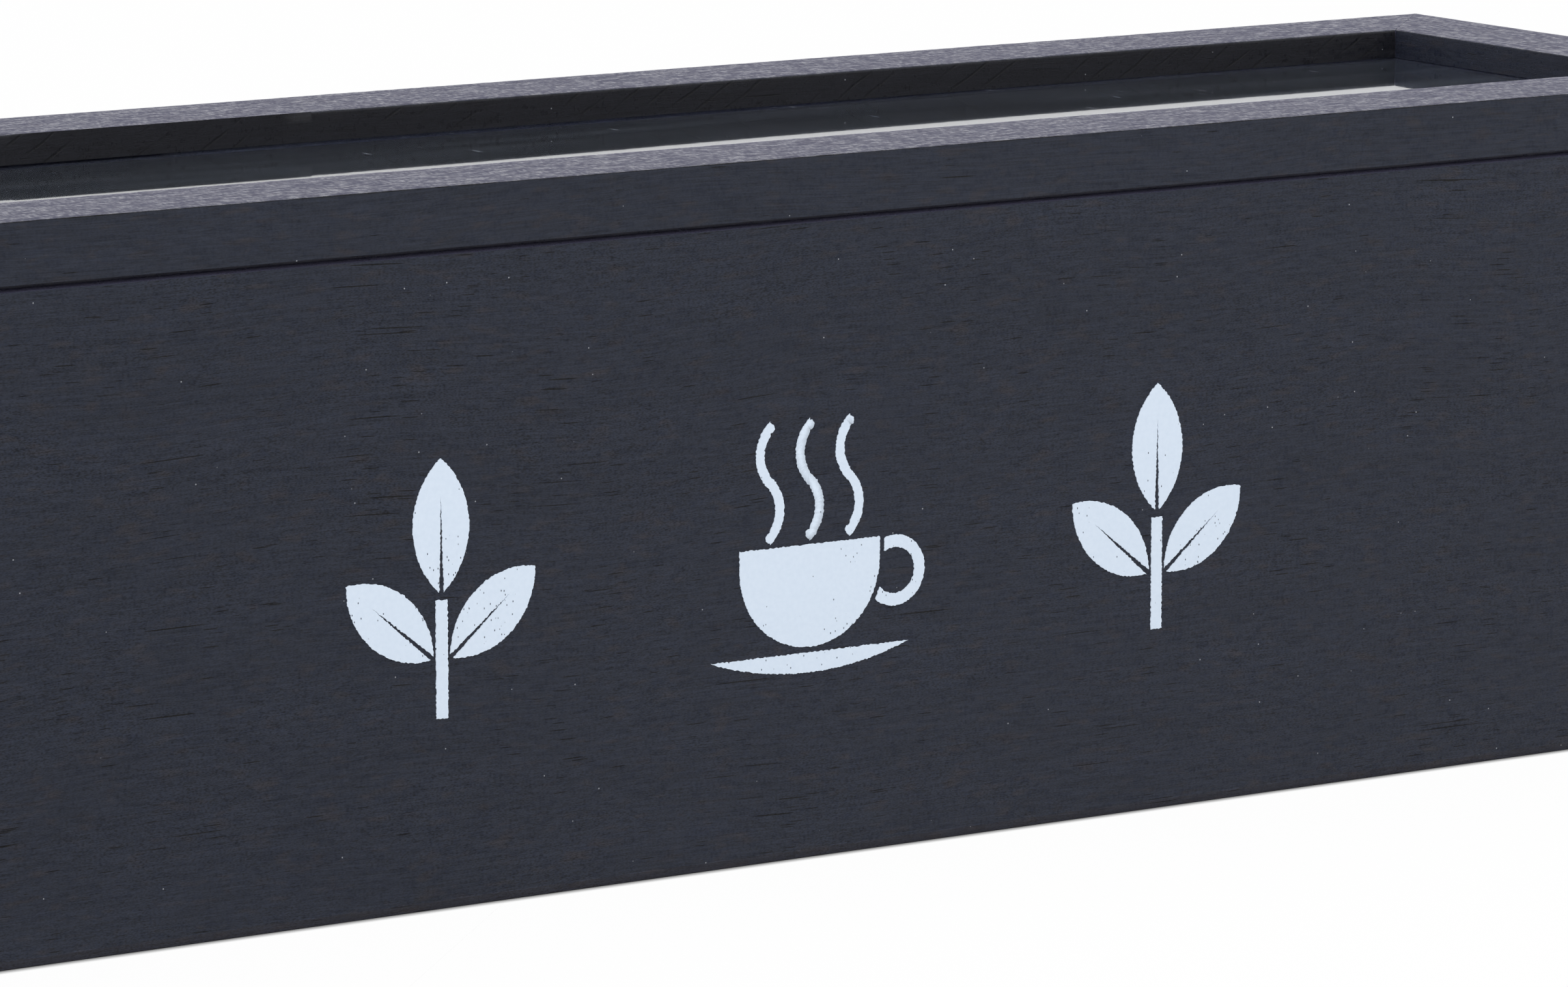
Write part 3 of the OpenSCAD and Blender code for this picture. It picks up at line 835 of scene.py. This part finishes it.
def long_panel(name, side, settings, grit):
    """Model the front or back panel: eased, sanded, rabbeted and grooved."""
    outer = side * HALF_D
    inner = side * (HALF_D - PANEL_T)
    low = Vector((-HALF_W, min(outer, inner), 0))
    high = Vector((HALF_W, max(outer, inner), RIM_Z))
    panel = block(name, low, high)
    rabbet = sorted((side * (HALF_D - RABBET_LIP), inner - side * OVER))
    ends = [sorted((end * (HALF_W - PANEL_T), end * (HALF_W + OVER))) for end in (-1, 1)]
    cut(
        panel,
        [
            block("cutter", (end[0], rabbet[0], -OVER), (end[1], rabbet[1], RIM_Z + OVER))
            for end in ends
        ],
        [groove_comb(inner, side)],
    )
    cut_for_brads(panel, [(side * BRAD_Y, z) for z in BRAD_Z], BRAD_L)

    def on_rim(edge):
        return middle(edge).z > RIM_Z - TOUCH

    def past_joint(edge):
        return abs(middle(edge).y) > HALF_D - RABBET_LIP + TOUCH

    ease(
        panel, CORNER_EASE,
        lambda edge: runs_along(edge, Z) and abs(middle(edge).y - outer) < TOUCH, 5,
    )
    if side < 0:
        # The lower edge is sanded to a steep narrow flat
        saw(panel, (0, outer, settings.arris), (0, -settings.arris, -ARRIS_D))
    else:
        # The bevel that the open lid comes to rest on
        saw(panel, (0, PIN.y, PIN.z), (0, math.tan(BEVEL_ANGLE), 1))
    ease(panel, settings.rim_ease, lambda edge: (
        on_rim(edge) and past_joint(edge) and (side < 0 or not runs_along(edge, X))
    ), 2)
    ease(panel, settings.inner_ease, lambda edge: (
        on_rim(edge) and runs_along(edge, X) and abs(middle(edge).y - inner) < TOUCH
    ))
    ease(panel, 0.08 * MM, lambda edge: (
        runs_along(edge, X) and middle(edge).z < 3 * MM
        and (past_joint(edge) or abs(middle(edge).y - inner) < TOUCH)
    ), 2)
    guides(panel, Z, (2.6 * MM, RIM_Z - 1.8 * MM))
    guides(panel, Y, (outer - side * 1.8 * MM,))
    if side > 0:
        cut_for_hinges(panel, -1)
    slices(panel, X, settings.slice_pitch if side < 0 else 3 * MM)
    sand(panel, lambda co: near_long_edge(co, low, high, X, 1.3 * MM), settings, grit)
    even_shading(panel)
    return panel


class TEABOX_OT_long_panels(bpy.types.Operator):
    """Make the front and back panels"""

    bl_idname = "tea_box.long_panels"
    bl_label = "Front and Back Panels"

    def execute(self, context):
        wood = context.scene.tea_box.wood
        front = long_panel("wood_front_panel", -1, wood, 1.0)
        stained = stained_wood(
            "Black-stained basswood, front panel", wood, X, (11, 0, 23), marks=("foot",),
        )
        fit(front, stained, "box", "stained_wood", "front_panel")
        back = long_panel("wood_back_panel", 1, wood, 1.15)
        stained = stained_wood("Black-stained basswood, back panel", wood, X, (301, 57, 5))
        fit(back, stained, "box", "stained_wood", "back_panel")
        return {"FINISHED"}


class TEABOX_OT_end_panels(bpy.types.Operator):
    """Make the two end panels"""

    bl_idname = "tea_box.end_panels"
    bl_label = "End Panels"

    def execute(self, context):
        wood = context.scene.tea_box.wood
        half_l = HALF_D - RABBET_LIP - 0.02 * MM
        low = Vector((HALF_W - PANEL_T, -half_l, 0))
        high = Vector((HALF_W, half_l, RIM_Z))
        right = block("wood_right_end_panel", low, high)
        cut(right, [block(
            "cutter",
            (low.x - OVER, -HALF_D, BOTTOM_GROOVE[0]),
            (low.x + GROOVE_DEPTH, HALF_D, BOTTOM_GROOVE[1]),
        )])
        cut_for_brads(right, [(y, z) for y in (-BRAD_Y, BRAD_Y) for z in BRAD_Z], BRAD_L, (1,))
        # The long edges at the top and bottom, but not the groove's
        ease(right, wood.inner_ease, lambda edge: (
            runs_along(edge, Y, 5 * MM)
            and min(middle(edge).z, RIM_Z - middle(edge).z) < TOUCH
        ))
        guides(right, Y, (1.7 * MM - BRAD_Y, BRAD_Y - 1.7 * MM))
        guides(right, Z, (1.8 * MM, RIM_Z - 1.8 * MM))
        guides(right, X, (HALF_W - 1.8 * MM,))
        slices(right, Y, 1.5 * MM)
        sand(right, lambda co: near_long_edge(co, low, high, Y), wood, 0.9)
        even_shading(right)
        left = moved_copy(right, "wood_left_end_panel", Matrix.Diagonal((-1, 1, 1, 1)))
        for panel, word, shift in ((right, "right", (77, 31, 9)), (left, "left", (5, 140, 61))):
            stained = stained_wood(f"Black-stained basswood, {word} end", wood, Y, shift)
            fit(panel, stained, "box", "stained_wood", f"{word}_end_panel")
        return {"FINISHED"}


class TEABOX_OT_inner_boards(bpy.types.Operator):
    """Make the bottom panel and the dividers"""

    bl_idname = "tea_box.inner_boards"
    bl_label = "Bottom and Dividers"

    def execute(self, context):
        wood = context.scene.tea_box.wood
        bottom = block("wood_bottom_panel", *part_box("bottom_panel"))
        ease(bottom, 0.3 * MM, lambda edge: not runs_along(edge, Z), 2)
        slices(bottom, X, 10 * MM)
        even_shading(bottom)
        name = "Black-stained plywood, bottom"
        # The boards inside the box are darkened all over with the soaked colour as painted shade
        stained = stained_wood(name, wood, X, (40, 7, 90), 1.4, overall_shade=0.8)
        fit(bottom, stained, "box", "stained_inner_wood", "bottom_panel")
        low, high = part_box("divider_2")
        board = block("wood_divider_2", low, high)
        ease(board, 1 * MM, lambda edge: runs_along(edge, Y) and middle(edge).z > high.z - TOUCH, 5)
        ease(board, 0.3 * MM, lambda edge: (
            runs_along(edge, Z, 5 * MM) and abs(abs(middle(edge).y) - high.y) < TOUCH
        ), 2)
        slices(board, Y, 2 * MM)
        sand(board, lambda co: co.z > high.z - 1.2 * MM and abs(co.y) < 36 * MM, wood, 1.05)
        even_shading(board)
        # The dividers inside the box are darkened all over as painted shade
        material = stained_wood("Black-stained basswood, dividers", wood, Y, (9, 60, 33), overall_shade=0.8)
        for number in (1, 3):
            move = Matrix.Translation((DIVIDER_X[number - 1], 0, 0))
            twin = moved_copy(board, f"wood_divider_{number}", move)
            fit(twin, material, "box", "stained_inner_wood", f"divider_{number}")
        fit(board, material, "box", "stained_inner_wood", "divider_2")
        return {"FINISHED"}


def lid_rail(name, axis, side, settings, grit, pitch):
    """Model one rail of the lid: grooved for the window, eased, mitred and sanded."""
    across = Y if axis == X else X
    half_l, outer, inner = (
        (HALF_W, HALF_D, RAIL_IN_Y) if axis == X else (HALF_D, HALF_W, RAIL_IN_X)
    )

    def on_rail(along, out, up=0.0):
        """A point or a direction, given along the rail, across it and up."""
        spot = Vector((0, 0, up))
        spot[axis] = along
        spot[across] = out
        return spot

    low = on_rail(-half_l, min(side * outer, side * inner), LID_Z)
    high = on_rail(half_l, max(side * outer, side * inner), TOP_Z)
    rail = block(name, low, high)

    # The groove is pressed in from the inner face
    guides(rail, Z, WINDOW_GROOVE)
    pick(rail, "FACE", lambda face: (
        face.normal[across] * -side > 0.9
        and WINDOW_GROOVE[0] < face.calc_center_median().z < WINDOW_GROOVE[1]
    ))
    extrude(on_rail(0, side * WINDOW_GROOVE_DEPTH))

    def corner(edge, wall, level):
        spot = middle(edge)
        return (
            runs_along(edge, axis) and abs(spot.z - level) < TOUCH
            and abs(spot[across] - side * wall) < TOUCH
        )

    # The lower outer edge is chamfered, and the others are only touched with sandpaper
    ease(rail, 0.35 * MM, lambda edge: corner(edge, outer, LID_Z), 1)
    ease(rail, 0.15 * MM, lambda edge: corner(edge, outer, TOP_Z), 2)
    ease(rail, 0.3 * MM, lambda edge: corner(edge, inner, LID_Z), 3)
    if name == "wood_lid_rear_rail":
        # Along a stretch on the left the sanding block missed the inner top edge
        missed = (-74 * MM, -29.75 * MM)
        guides(rail, X, missed)
        ease(rail, 0.4 * MM, lambda edge: (
            corner(edge, inner, TOP_Z) and not missed[0] < middle(edge).x < missed[1]
        ))
    else:
        ease(rail, 0.2 * MM, lambda edge: corner(edge, inner, TOP_Z), 3)
    if high.y > PIN.y:
        # The bevel that comes to rest on the back panel's
        saw(rail, (0, PIN.y, PIN.z), (0, math.tan(BEVEL_ANGLE), -1))
    # Mitres, with a hairline between the rails
    hair = 0.03 * MM
    for end in (-1, 1):
        saw(rail, on_rail(end * (half_l - hair), side * outer), on_rail(end, -side))
        # The outer corner is rounded with its neighbour's
        centre = on_rail(end * (half_l - CORNER_EASE), side * (outer - CORNER_EASE))
        for step in range(1, 6):
            angle = math.radians(9 * step)
            out = on_rail(end * math.sin(angle), side * math.cos(angle))
            saw(rail, centre + out * CORNER_EASE, out)
    guides(rail, Z, (LID_Z + 1.62 * MM, TOP_Z - 1.6 * MM))
    guides(rail, across, (side * (outer - 1.6 * MM), side * (inner + 1.6 * MM)))
    if axis == X:
        cut_for_brads(rail, [(side * LID_BRAD_Y, LID_BRAD_Z)], LID_BRAD_L)
    else:
        places = [(y, LID_BRAD_Z) for y in (-LID_BRAD_Y, LID_BRAD_Y)]
        cut_for_brads(rail, places, LID_BRAD_L, (side,))
    if name == "wood_lid_rear_rail":
        cut_for_hinges(rail, 1)
    slices(rail, axis, pitch)
    sand(rail, lambda co: near_long_edge(co, low, high, axis), settings, grit)
    even_shading(rail)
    return rail


class TEABOX_OT_lid_rails(bpy.types.Operator):
    """Make the four mitred rails of the lid"""

    bl_idname = "tea_box.lid_rails"
    bl_label = "Lid Rails"

    def execute(self, context):
        wood = context.scene.tea_box.wood
        for word, axis, side, grit, pitch, shift, pores, nap, marks in (
            ("front", X, -1, 0.93, wood.slice_pitch, (63, 5, 41), 0.3, 0.45, ("crest",)),
            ("rear", X, 1, 1.07, wood.slice_pitch, (129, 80, 7), 0.3, 0.6, ("sawn",)),
            ("right", Y, 1, 1.0, 2 * MM, (17, 44, 70), 0.5, 0.7, ()),
            ("left", Y, -1, 1.1, 2 * MM, (52, 4, 28), 0.5, 0.7, ()),
        ):
            rail = lid_rail(f"wood_lid_{word}_rail", axis, side, wood, grit, pitch)
            name = f"Black-stained basswood, {word} rail"
            stained = stained_wood(name, wood, axis, shift, pores, nap, marks)
            fit(rail, stained, "lid", "stained_wood", f"lid_{word}_rail")
        return {"FINISHED"}


class TEABOX_OT_front_print(bpy.types.Operator):
    """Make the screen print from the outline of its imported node"""

    bl_idname = "tea_box.front_print"
    bl_label = "Front Print"

    def execute(self, context):
        settings = context.scene.tea_box.print
        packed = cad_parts["front_print"]
        ink_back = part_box("front_print")[1].y
        ink_t = ink_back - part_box("front_print")[0].y
        print_piece = bpy.data.objects.new("ink_front_print", packed.data.copy())
        print_piece.data.name = "ink_front_print"
        context.scene.collection.objects.link(print_piece)
        activate(print_piece)
        bpy.ops.object.mode_set(mode="EDIT")
        bpy.ops.mesh.select_all(action="SELECT")
        bpy.ops.mesh.remove_doubles(threshold=0.001 * MM)
        # Only the face that touches the wood is kept
        pick(print_piece, "FACE", lambda face: face.normal.y < 0.9)
        bpy.ops.mesh.delete(type="FACE")
        bpy.ops.mesh.select_all(action="SELECT")
        bpy.ops.mesh.dissolve_limited(angle_limit=math.radians(0.5))
        # The outline gets a vertex in every half thread of the screen
        longest = settings.mesh * 0.45
        while pick(print_piece, "EDGE", lambda edge: edge.calc_length() > longest, allow_none=True):
            bpy.ops.mesh.subdivide(number_cuts=1)
        bpy.ops.object.mode_set(mode="OBJECT")
        for direction, size in (("X", settings.mesh), ("Z", settings.mesh * 1.13)):
            texture = bpy.data.textures.new("screen mesh", "CLOUDS")
            texture.noise_scale = size
            texture.noise_depth = 0
            change = print_piece.modifiers.new("ragged edge", "DISPLACE")
            change.texture = texture
            change.texture_coords = "LOCAL"
            change.direction = direction
            change.strength = settings.ragged * 2
            bpy.ops.object.modifier_apply(modifier=change.name)
        pick(print_piece, "FACE", lambda face: True)
        extrude((0, -ink_t, 0))
        bpy.ops.mesh.select_all(action="SELECT")
        bpy.ops.mesh.normals_make_consistent(inside=False)
        bpy.ops.mesh.quads_convert_to_tris(ngon_method="BEAUTY")
        bpy.ops.object.mode_set(mode="OBJECT")
        ink = screen_ink("White screen ink on stained wood", settings, context.scene.tea_box.wood)
        fit(print_piece, ink, "box", "white_ink", "front_print")
        return {"FINISHED"}


class TEABOX_OT_lid_window(bpy.types.Operator):
    """Make the clear sheet in the lid's groove"""

    bl_idname = "tea_box.lid_window"
    bl_label = "Window"

    def execute(self, context):
        settings = context.scene.tea_box.window
        sheet = block("acrylic_window", WINDOW_LOW, WINDOW_HIGH)
        ease(sheet, 1.5 * MM, lambda edge: runs_along(edge, Z), 6)
        ease(sheet, settings.edge, lambda edge: abs(edge.verts[0].co.z - edge.verts[1].co.z) < 1e-7, 2)
        slices(sheet, X, 3 * MM)
        slices(sheet, Y, 3 * MM)
        # Thin sheet is never quite flat: it hangs through a little, and rises towards the right
        for vertex in sheet.data.vertices:
            part = min(1, max(0, (vertex.co.x + 50 * MM) / (150 * MM)))
            held = min(1, abs(vertex.co.y) / RAIL_IN_Y)
            vertex.co.z += settings.bow * part * part * (3 - 2 * part) - settings.sag * (1 - held * held)
        even_shading(sheet)
        fit(sheet, clear_acrylic("Clear acrylic sheet", settings), "lid", "clear_acrylic", "lid_window")
        return {"FINISHED"}


def brad(length):
    """Model one brad along -x from the origin: a small domed head, a shank and a point."""
    head = rod("brad", (0, 0, 0), (-BRAD_HEAD_T, 0, 0), BRAD_HEAD_R, 20)
    ease(head, 0.15 * MM, lambda edge: middle(edge).x > -TOUCH and len(edge.link_faces) == 2, 2)
    pick(head, "FACE", lambda face: face.normal.x < -0.9)
    bpy.ops.mesh.inset(thickness=BRAD_HEAD_R - BRAD_R, depth=0)
    point = 1.5 * MM
    for reach, thin in ((length - BRAD_HEAD_T - point, 1.0), (point, 0.15)):
        extrude((-reach, 0, 0))
        bpy.ops.transform.resize(value=(1, thin, thin))
    bpy.ops.object.mode_set(mode="OBJECT")
    even_shading(head)
    return head


class TEABOX_OT_brads(bpy.types.Operator):
    """Make the brads of the corners and of the lid"""

    bl_idname = "tea_box.brads"
    bl_label = "Brads"

    def execute(self, context):
        hardware = context.scene.tea_box.hardware
        wire = plated_metal("Bright drawn steel wire", hardware.steel, 0.4, 2.0, 0.004 * MM)

        def moves(places):
            made = []
            for side in (-1, 1):
                turn = Matrix.Identity(4) if side > 0 else Matrix.Rotation(math.pi, 4, "Z")
                for y, z in places:
                    made.append(Matrix.Translation((side * (HALF_W - BRAD_SINK), y, z)) @ turn)
            return made

        corners = [(y, z) for y in (-BRAD_Y, BRAD_Y) for z in BRAD_Z]
        in_box = set_out(brad(BRAD_L), "steel_corner_brads", moves(corners))
        fit(in_box, wire, "box", "steel_brads", "corner_brads")
        mitres = [(y, LID_BRAD_Z) for y in (-LID_BRAD_Y, LID_BRAD_Y)]
        in_lid = set_out(brad(LID_BRAD_L), "steel_lid_brads", moves(mitres))
        fit(in_lid, wire, "lid", "steel_brads", "lid_brads")
        return {"FINISHED"}


def countersink_bit(x, top):
    """The cutter for one countersunk screw hole in a leaf whose upper face is at the top height."""
    radius = SCREW_R + PLAY
    shoulder = top - (SCREW_HEAD_R - SCREW_R)
    bit = rod(
        "cutter", (x, -SCREW_BACK, top - LEAF_T - OVER), (x, -SCREW_BACK, shoulder), radius, 24,
    )
    # The flare opens at 45 degrees and goes on above the leaf
    pick(bit, "FACE", lambda face: face.normal.z > 0.9)
    extrude((0, 0, OVER))
    bpy.ops.transform.resize(value=(1 + OVER / radius, 1 + OVER / radius, 1))
    bpy.ops.object.mode_set(mode="OBJECT")
    return bit


def leaf(name, knuckles, edge):
    """Model one leaf below the pin at the origin, its knuckles rolled from the same sheet."""
    top = -HALF_GAP
    plate = block(name, (-HINGE_W / 2, -LEAF_REACH, top - LEAF_T), (HINGE_W / 2, -LEAF_EDGE, top))
    for x in sorted({limit for knuckle in knuckles for limit in knuckle}):
        if abs(x) < HINGE_W / 2:
            saw(plate, (x, 0, 0), (1, 0, 0), keep_all=True)
    # The tongues dip under the pin and roll round it, and stop short of the plate
    pick(plate, "FACE", lambda face: face.normal.y > 0.9 and any(
        start < face.calc_center_median().x < end for start, end in knuckles
    ))
    dip = KNUCKLE_R - LEAF_T - HALF_GAP
    for part, drop in ((0.2, 0.05), (0.6, 0.9), (0.2, 0.05)):
        extrude((0, LEAF_EDGE * part, -dip * drop))
    for _ in range(ROLL_STEPS):
        extrude((0, 0, 0))
        bpy.ops.transform.rotate(
            value=-ROLL / ROLL_STEPS, orient_axis="X", center_override=(0, 0, 0),
        )
    bpy.ops.object.mode_set(mode="OBJECT")
    cut(plate, [countersink_bit(x, top) for x in (-SCREW_X, SCREW_X)])
    soften(plate, edge, 35)
    even_shading(plate)
    return plate


def screw():
    """Model one countersunk screw down from the origin, with a cross slot."""
    sink = SCREW_HEAD_R - SCREW_R
    body = rod("screw", (0, 0, 0), (0, 0, -sink), SCREW_HEAD_R, 32, SCREW_R)
    pick(body, "FACE", lambda face: face.normal.z < -0.9)
    point = 1.4 * MM
    for reach, thin in ((SCREW_L - sink - point, 1.0), (point, 0.25)):
        extrude((0, 0, -reach))
        bpy.ops.transform.resize(value=(thin, thin, 1))
    bpy.ops.object.mode_set(mode="OBJECT")
    half_w = 0.175 * MM
    arm = 0.8 * MM
    depth = 0.3 * MM
    cut(
        body,
        [block("cutter", (-arm, -half_w, -depth), (arm, half_w, OVER))],
        [block("cutter", (-half_w, -arm, -depth), (half_w, arm, OVER))],
    )
    soften(body, 0.035 * MM, 50)
    even_shading(body)
    return body


class TEABOX_OT_hinges(bpy.types.Operator):
    """Make the leaves, pins and screws of both hinges"""

    bl_idname = "tea_box.hinges"
    bl_label = "Hinges"

    def execute(self, context):
        hardware = context.scene.tea_box.hardware
        sheet = plated_metal("Nickel-plated steel sheet", hardware.nickel, 0.27, 6.0, 0.003 * MM)
        turned = plated_metal("Nickel-plated steel screws", hardware.nickel, 0.33, 1.0, 0.002 * MM)
        half = HINGE_W / 2
        ends = [(-half, -half + SIDE_KNUCKLE_W), (half - SIDE_KNUCKLE_W, half)]
        flip = Matrix.Diagonal((1, 1, -1, 1))
        for side, word in ((-1, "left"), (1, "right")):
            at_pin = Matrix.Translation((side * PIN.x, PIN.y, PIN.z))
            low_leaf = set_out(leaf("leaf", ends, hardware.edge), f"{word}_body_leaf", [at_pin])
            fit(low_leaf, sheet, "box", "nickel_hinge", f"{word}_hinge_body_leaf")
            middle_knuckle = [(-KNUCKLE_W / 2, KNUCKLE_W / 2)]
            high_leaf = set_out(
                leaf("leaf", middle_knuckle, hardware.edge), f"{word}_lid_leaf", [at_pin @ flip],
            )
            fit(high_leaf, sheet, "lid", "nickel_hinge", f"{word}_hinge_lid_leaf")

            pin = rod("pin", (-half, 0, 0), (half, 0, 0), PIN_R, 24)
            for end in (-1, 1):
                pick(pin, "FACE", lambda face: face.normal.x * end > 0.9)
                grow = PIN_HEAD_R / PIN_R
                extrude((0, 0, 0))
                bpy.ops.transform.resize(value=(1, grow, grow))
                extrude((end * PIN_HEAD_T, 0, 0))
            bpy.ops.object.mode_set(mode="OBJECT")
            soften(pin, 0.12 * MM, 60, 3)
            even_shading(pin)
            pin = set_out(pin, f"{word}_pin", [at_pin])
            fit(pin, turned, "box", "nickel_hinge", f"{word}_hinge_pin")

            for up, body, kind in ((-1, "box", "body"), (1, "lid", "lid")):
                moves = []
                for x, turn in ((-SCREW_X, 0.4), (SCREW_X, 1.1)):
                    spot = Vector((x, -SCREW_BACK, up * HALF_GAP))
                    move = at_pin @ Matrix.Translation(spot) @ Matrix.Rotation(turn, 4, "Z")
                    moves.append(move @ flip if up > 0 else move)
                screws = set_out(screw(), f"{word}_{kind}_screws", moves)
                fit(screws, turned, body, "hinge_screws", f"{word}_hinge_{kind}_screws")
        return {"FINISHED"}


def seen_directly(add):
    """Whether a ray comes from the camera, also by way of a mirror or a clear sheet."""
    ray = add("LightPath")
    ways = (ray.outputs["Is Camera Ray"], ray.outputs["Is Glossy Ray"])
    seen = add("Math", ways, operation="MAXIMUM")
    return add("Math", (seen, ray.outputs["Is Transmission Ray"]), operation="MAXIMUM")


class TEABOX_OT_stage(bpy.types.Operator):
    """Make the floor, the light and the camera"""

    bl_idname = "tea_box.stage"
    bl_label = "Stage"

    def execute(self, context):
        settings = context.scene.tea_box.stage
        scene = context.scene
        scene.view_settings.view_transform = "Standard"

        deselect()
        bpy.ops.mesh.primitive_plane_add(size=16)
        floor = place("floor")
        material, add, *_ = new_material("Pale painted floor")
        paint = add("BsdfDiffuse", {"Color": opaque(settings.floor)})
        # The white that the camera sees darkens only where the box stands on it
        foot = add("AmbientOcclusion", {"Distance": settings.contact}, samples=16)
        shade = add("Math", (foot.outputs["AO"], 1.8), operation="POWER")
        white = add("Emission", {"Color": (1, 1, 1, 1), "Strength": shade})
        part = add("Math", (seen_directly(add), 0.95), operation="MULTIPLY")
        mixed = add("MixShader", (part, paint, white))
        add("OutputMaterial", (mixed,))
        floor.data.materials.append(material)

        world = bpy.data.worlds.new("White studio")
        world.use_nodes = True
        scene.world = world
        world.node_tree.nodes.clear()
        add = partial(node, world.node_tree)
        strength = add("MapRange", {0: seen_directly(add), 3: settings.air, 4: 1.0})
        sky = add("Background", {"Color": (1, 1, 1, 1), "Strength": strength})
        add("OutputWorld", (sky,))

        lamp = bpy.data.lights.new("softbox", "AREA")
        lamp.shape = "RECTANGLE"
        lamp.size, lamp.size_y = SOFTBOX_SIZE
        lamp.energy = settings.key
        softbox = bpy.data.objects.new("softbox", lamp)
        softbox.location = SOFTBOX_AT
        aim = Vector((0, 0, 0.05)) - SOFTBOX_AT
        softbox.rotation_euler = aim.to_track_quat("-Z", "Y").to_euler()
        scene.collection.objects.link(softbox)

        view = bpy.data.cameras.new("camera")
        view.lens = settings.lens
        view.sensor_width = 36
        view.clip_start = 0.05
        view.clip_end = 50
        camera = bpy.data.objects.new("camera", view)
        camera.location = CAMERA_AT
        camera.rotation_euler = CAMERA_TURN
        scene.collection.objects.link(camera)
        scene.camera = camera
        return {"FINISHED"}


class TEABOX_PT_sidebar(bpy.types.Panel):
    """Lists the settings and the pieces of the box"""

    bl_label = "Tea Bag Organizer Box"
    bl_idname = "TEABOX_PT_sidebar"
    bl_space_type = "VIEW_3D"
    bl_region_type = "UI"
    bl_category = "Tea Box"

    def draw(self, context):
        settings = context.scene.tea_box
        for group in ("wood", "print", "window", "hardware", "stage"):
            box = self.layout.box()
            values = getattr(settings, group)
            box.label(text=settings.bl_rna.properties[group].name)
            for name in values.__annotations__:
                box.prop(values, name)
        for operator in OPERATORS:
            self.layout.operator(operator.bl_idname)


SETTINGS = (
    WoodSettings, PrintSettings, WindowSettings, HardwareSettings, StageSettings, TeaBoxSettings,
)
OPERATORS = (
    TEABOX_OT_stage,
    TEABOX_OT_long_panels,
    TEABOX_OT_end_panels,
    TEABOX_OT_inner_boards,
    TEABOX_OT_lid_rails,
    TEABOX_OT_front_print,
    TEABOX_OT_lid_window,
    TEABOX_OT_brads,
    TEABOX_OT_hinges,
)


def register():
    """Register the settings, the operators and the panel."""
    for cls in (*SETTINGS, *OPERATORS, TEABOX_PT_sidebar):
        bpy.utils.register_class(cls)
    bpy.types.Scene.tea_box = bpy.props.PointerProperty(type=TeaBoxSettings)


def unregister():
    """Remove what register() added."""
    del bpy.types.Scene.tea_box
    for cls in reversed((*SETTINGS, *OPERATORS, TEABOX_PT_sidebar)):
        bpy.utils.unregister_class(cls)


def main():
    """Make the stage and every piece."""
    register()
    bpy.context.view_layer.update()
    for operator in OPERATORS:
        group, name = operator.bl_idname.split(".")
        getattr(getattr(bpy.ops, group), name)()
    deselect()


if __name__ == "__main__":
    main()
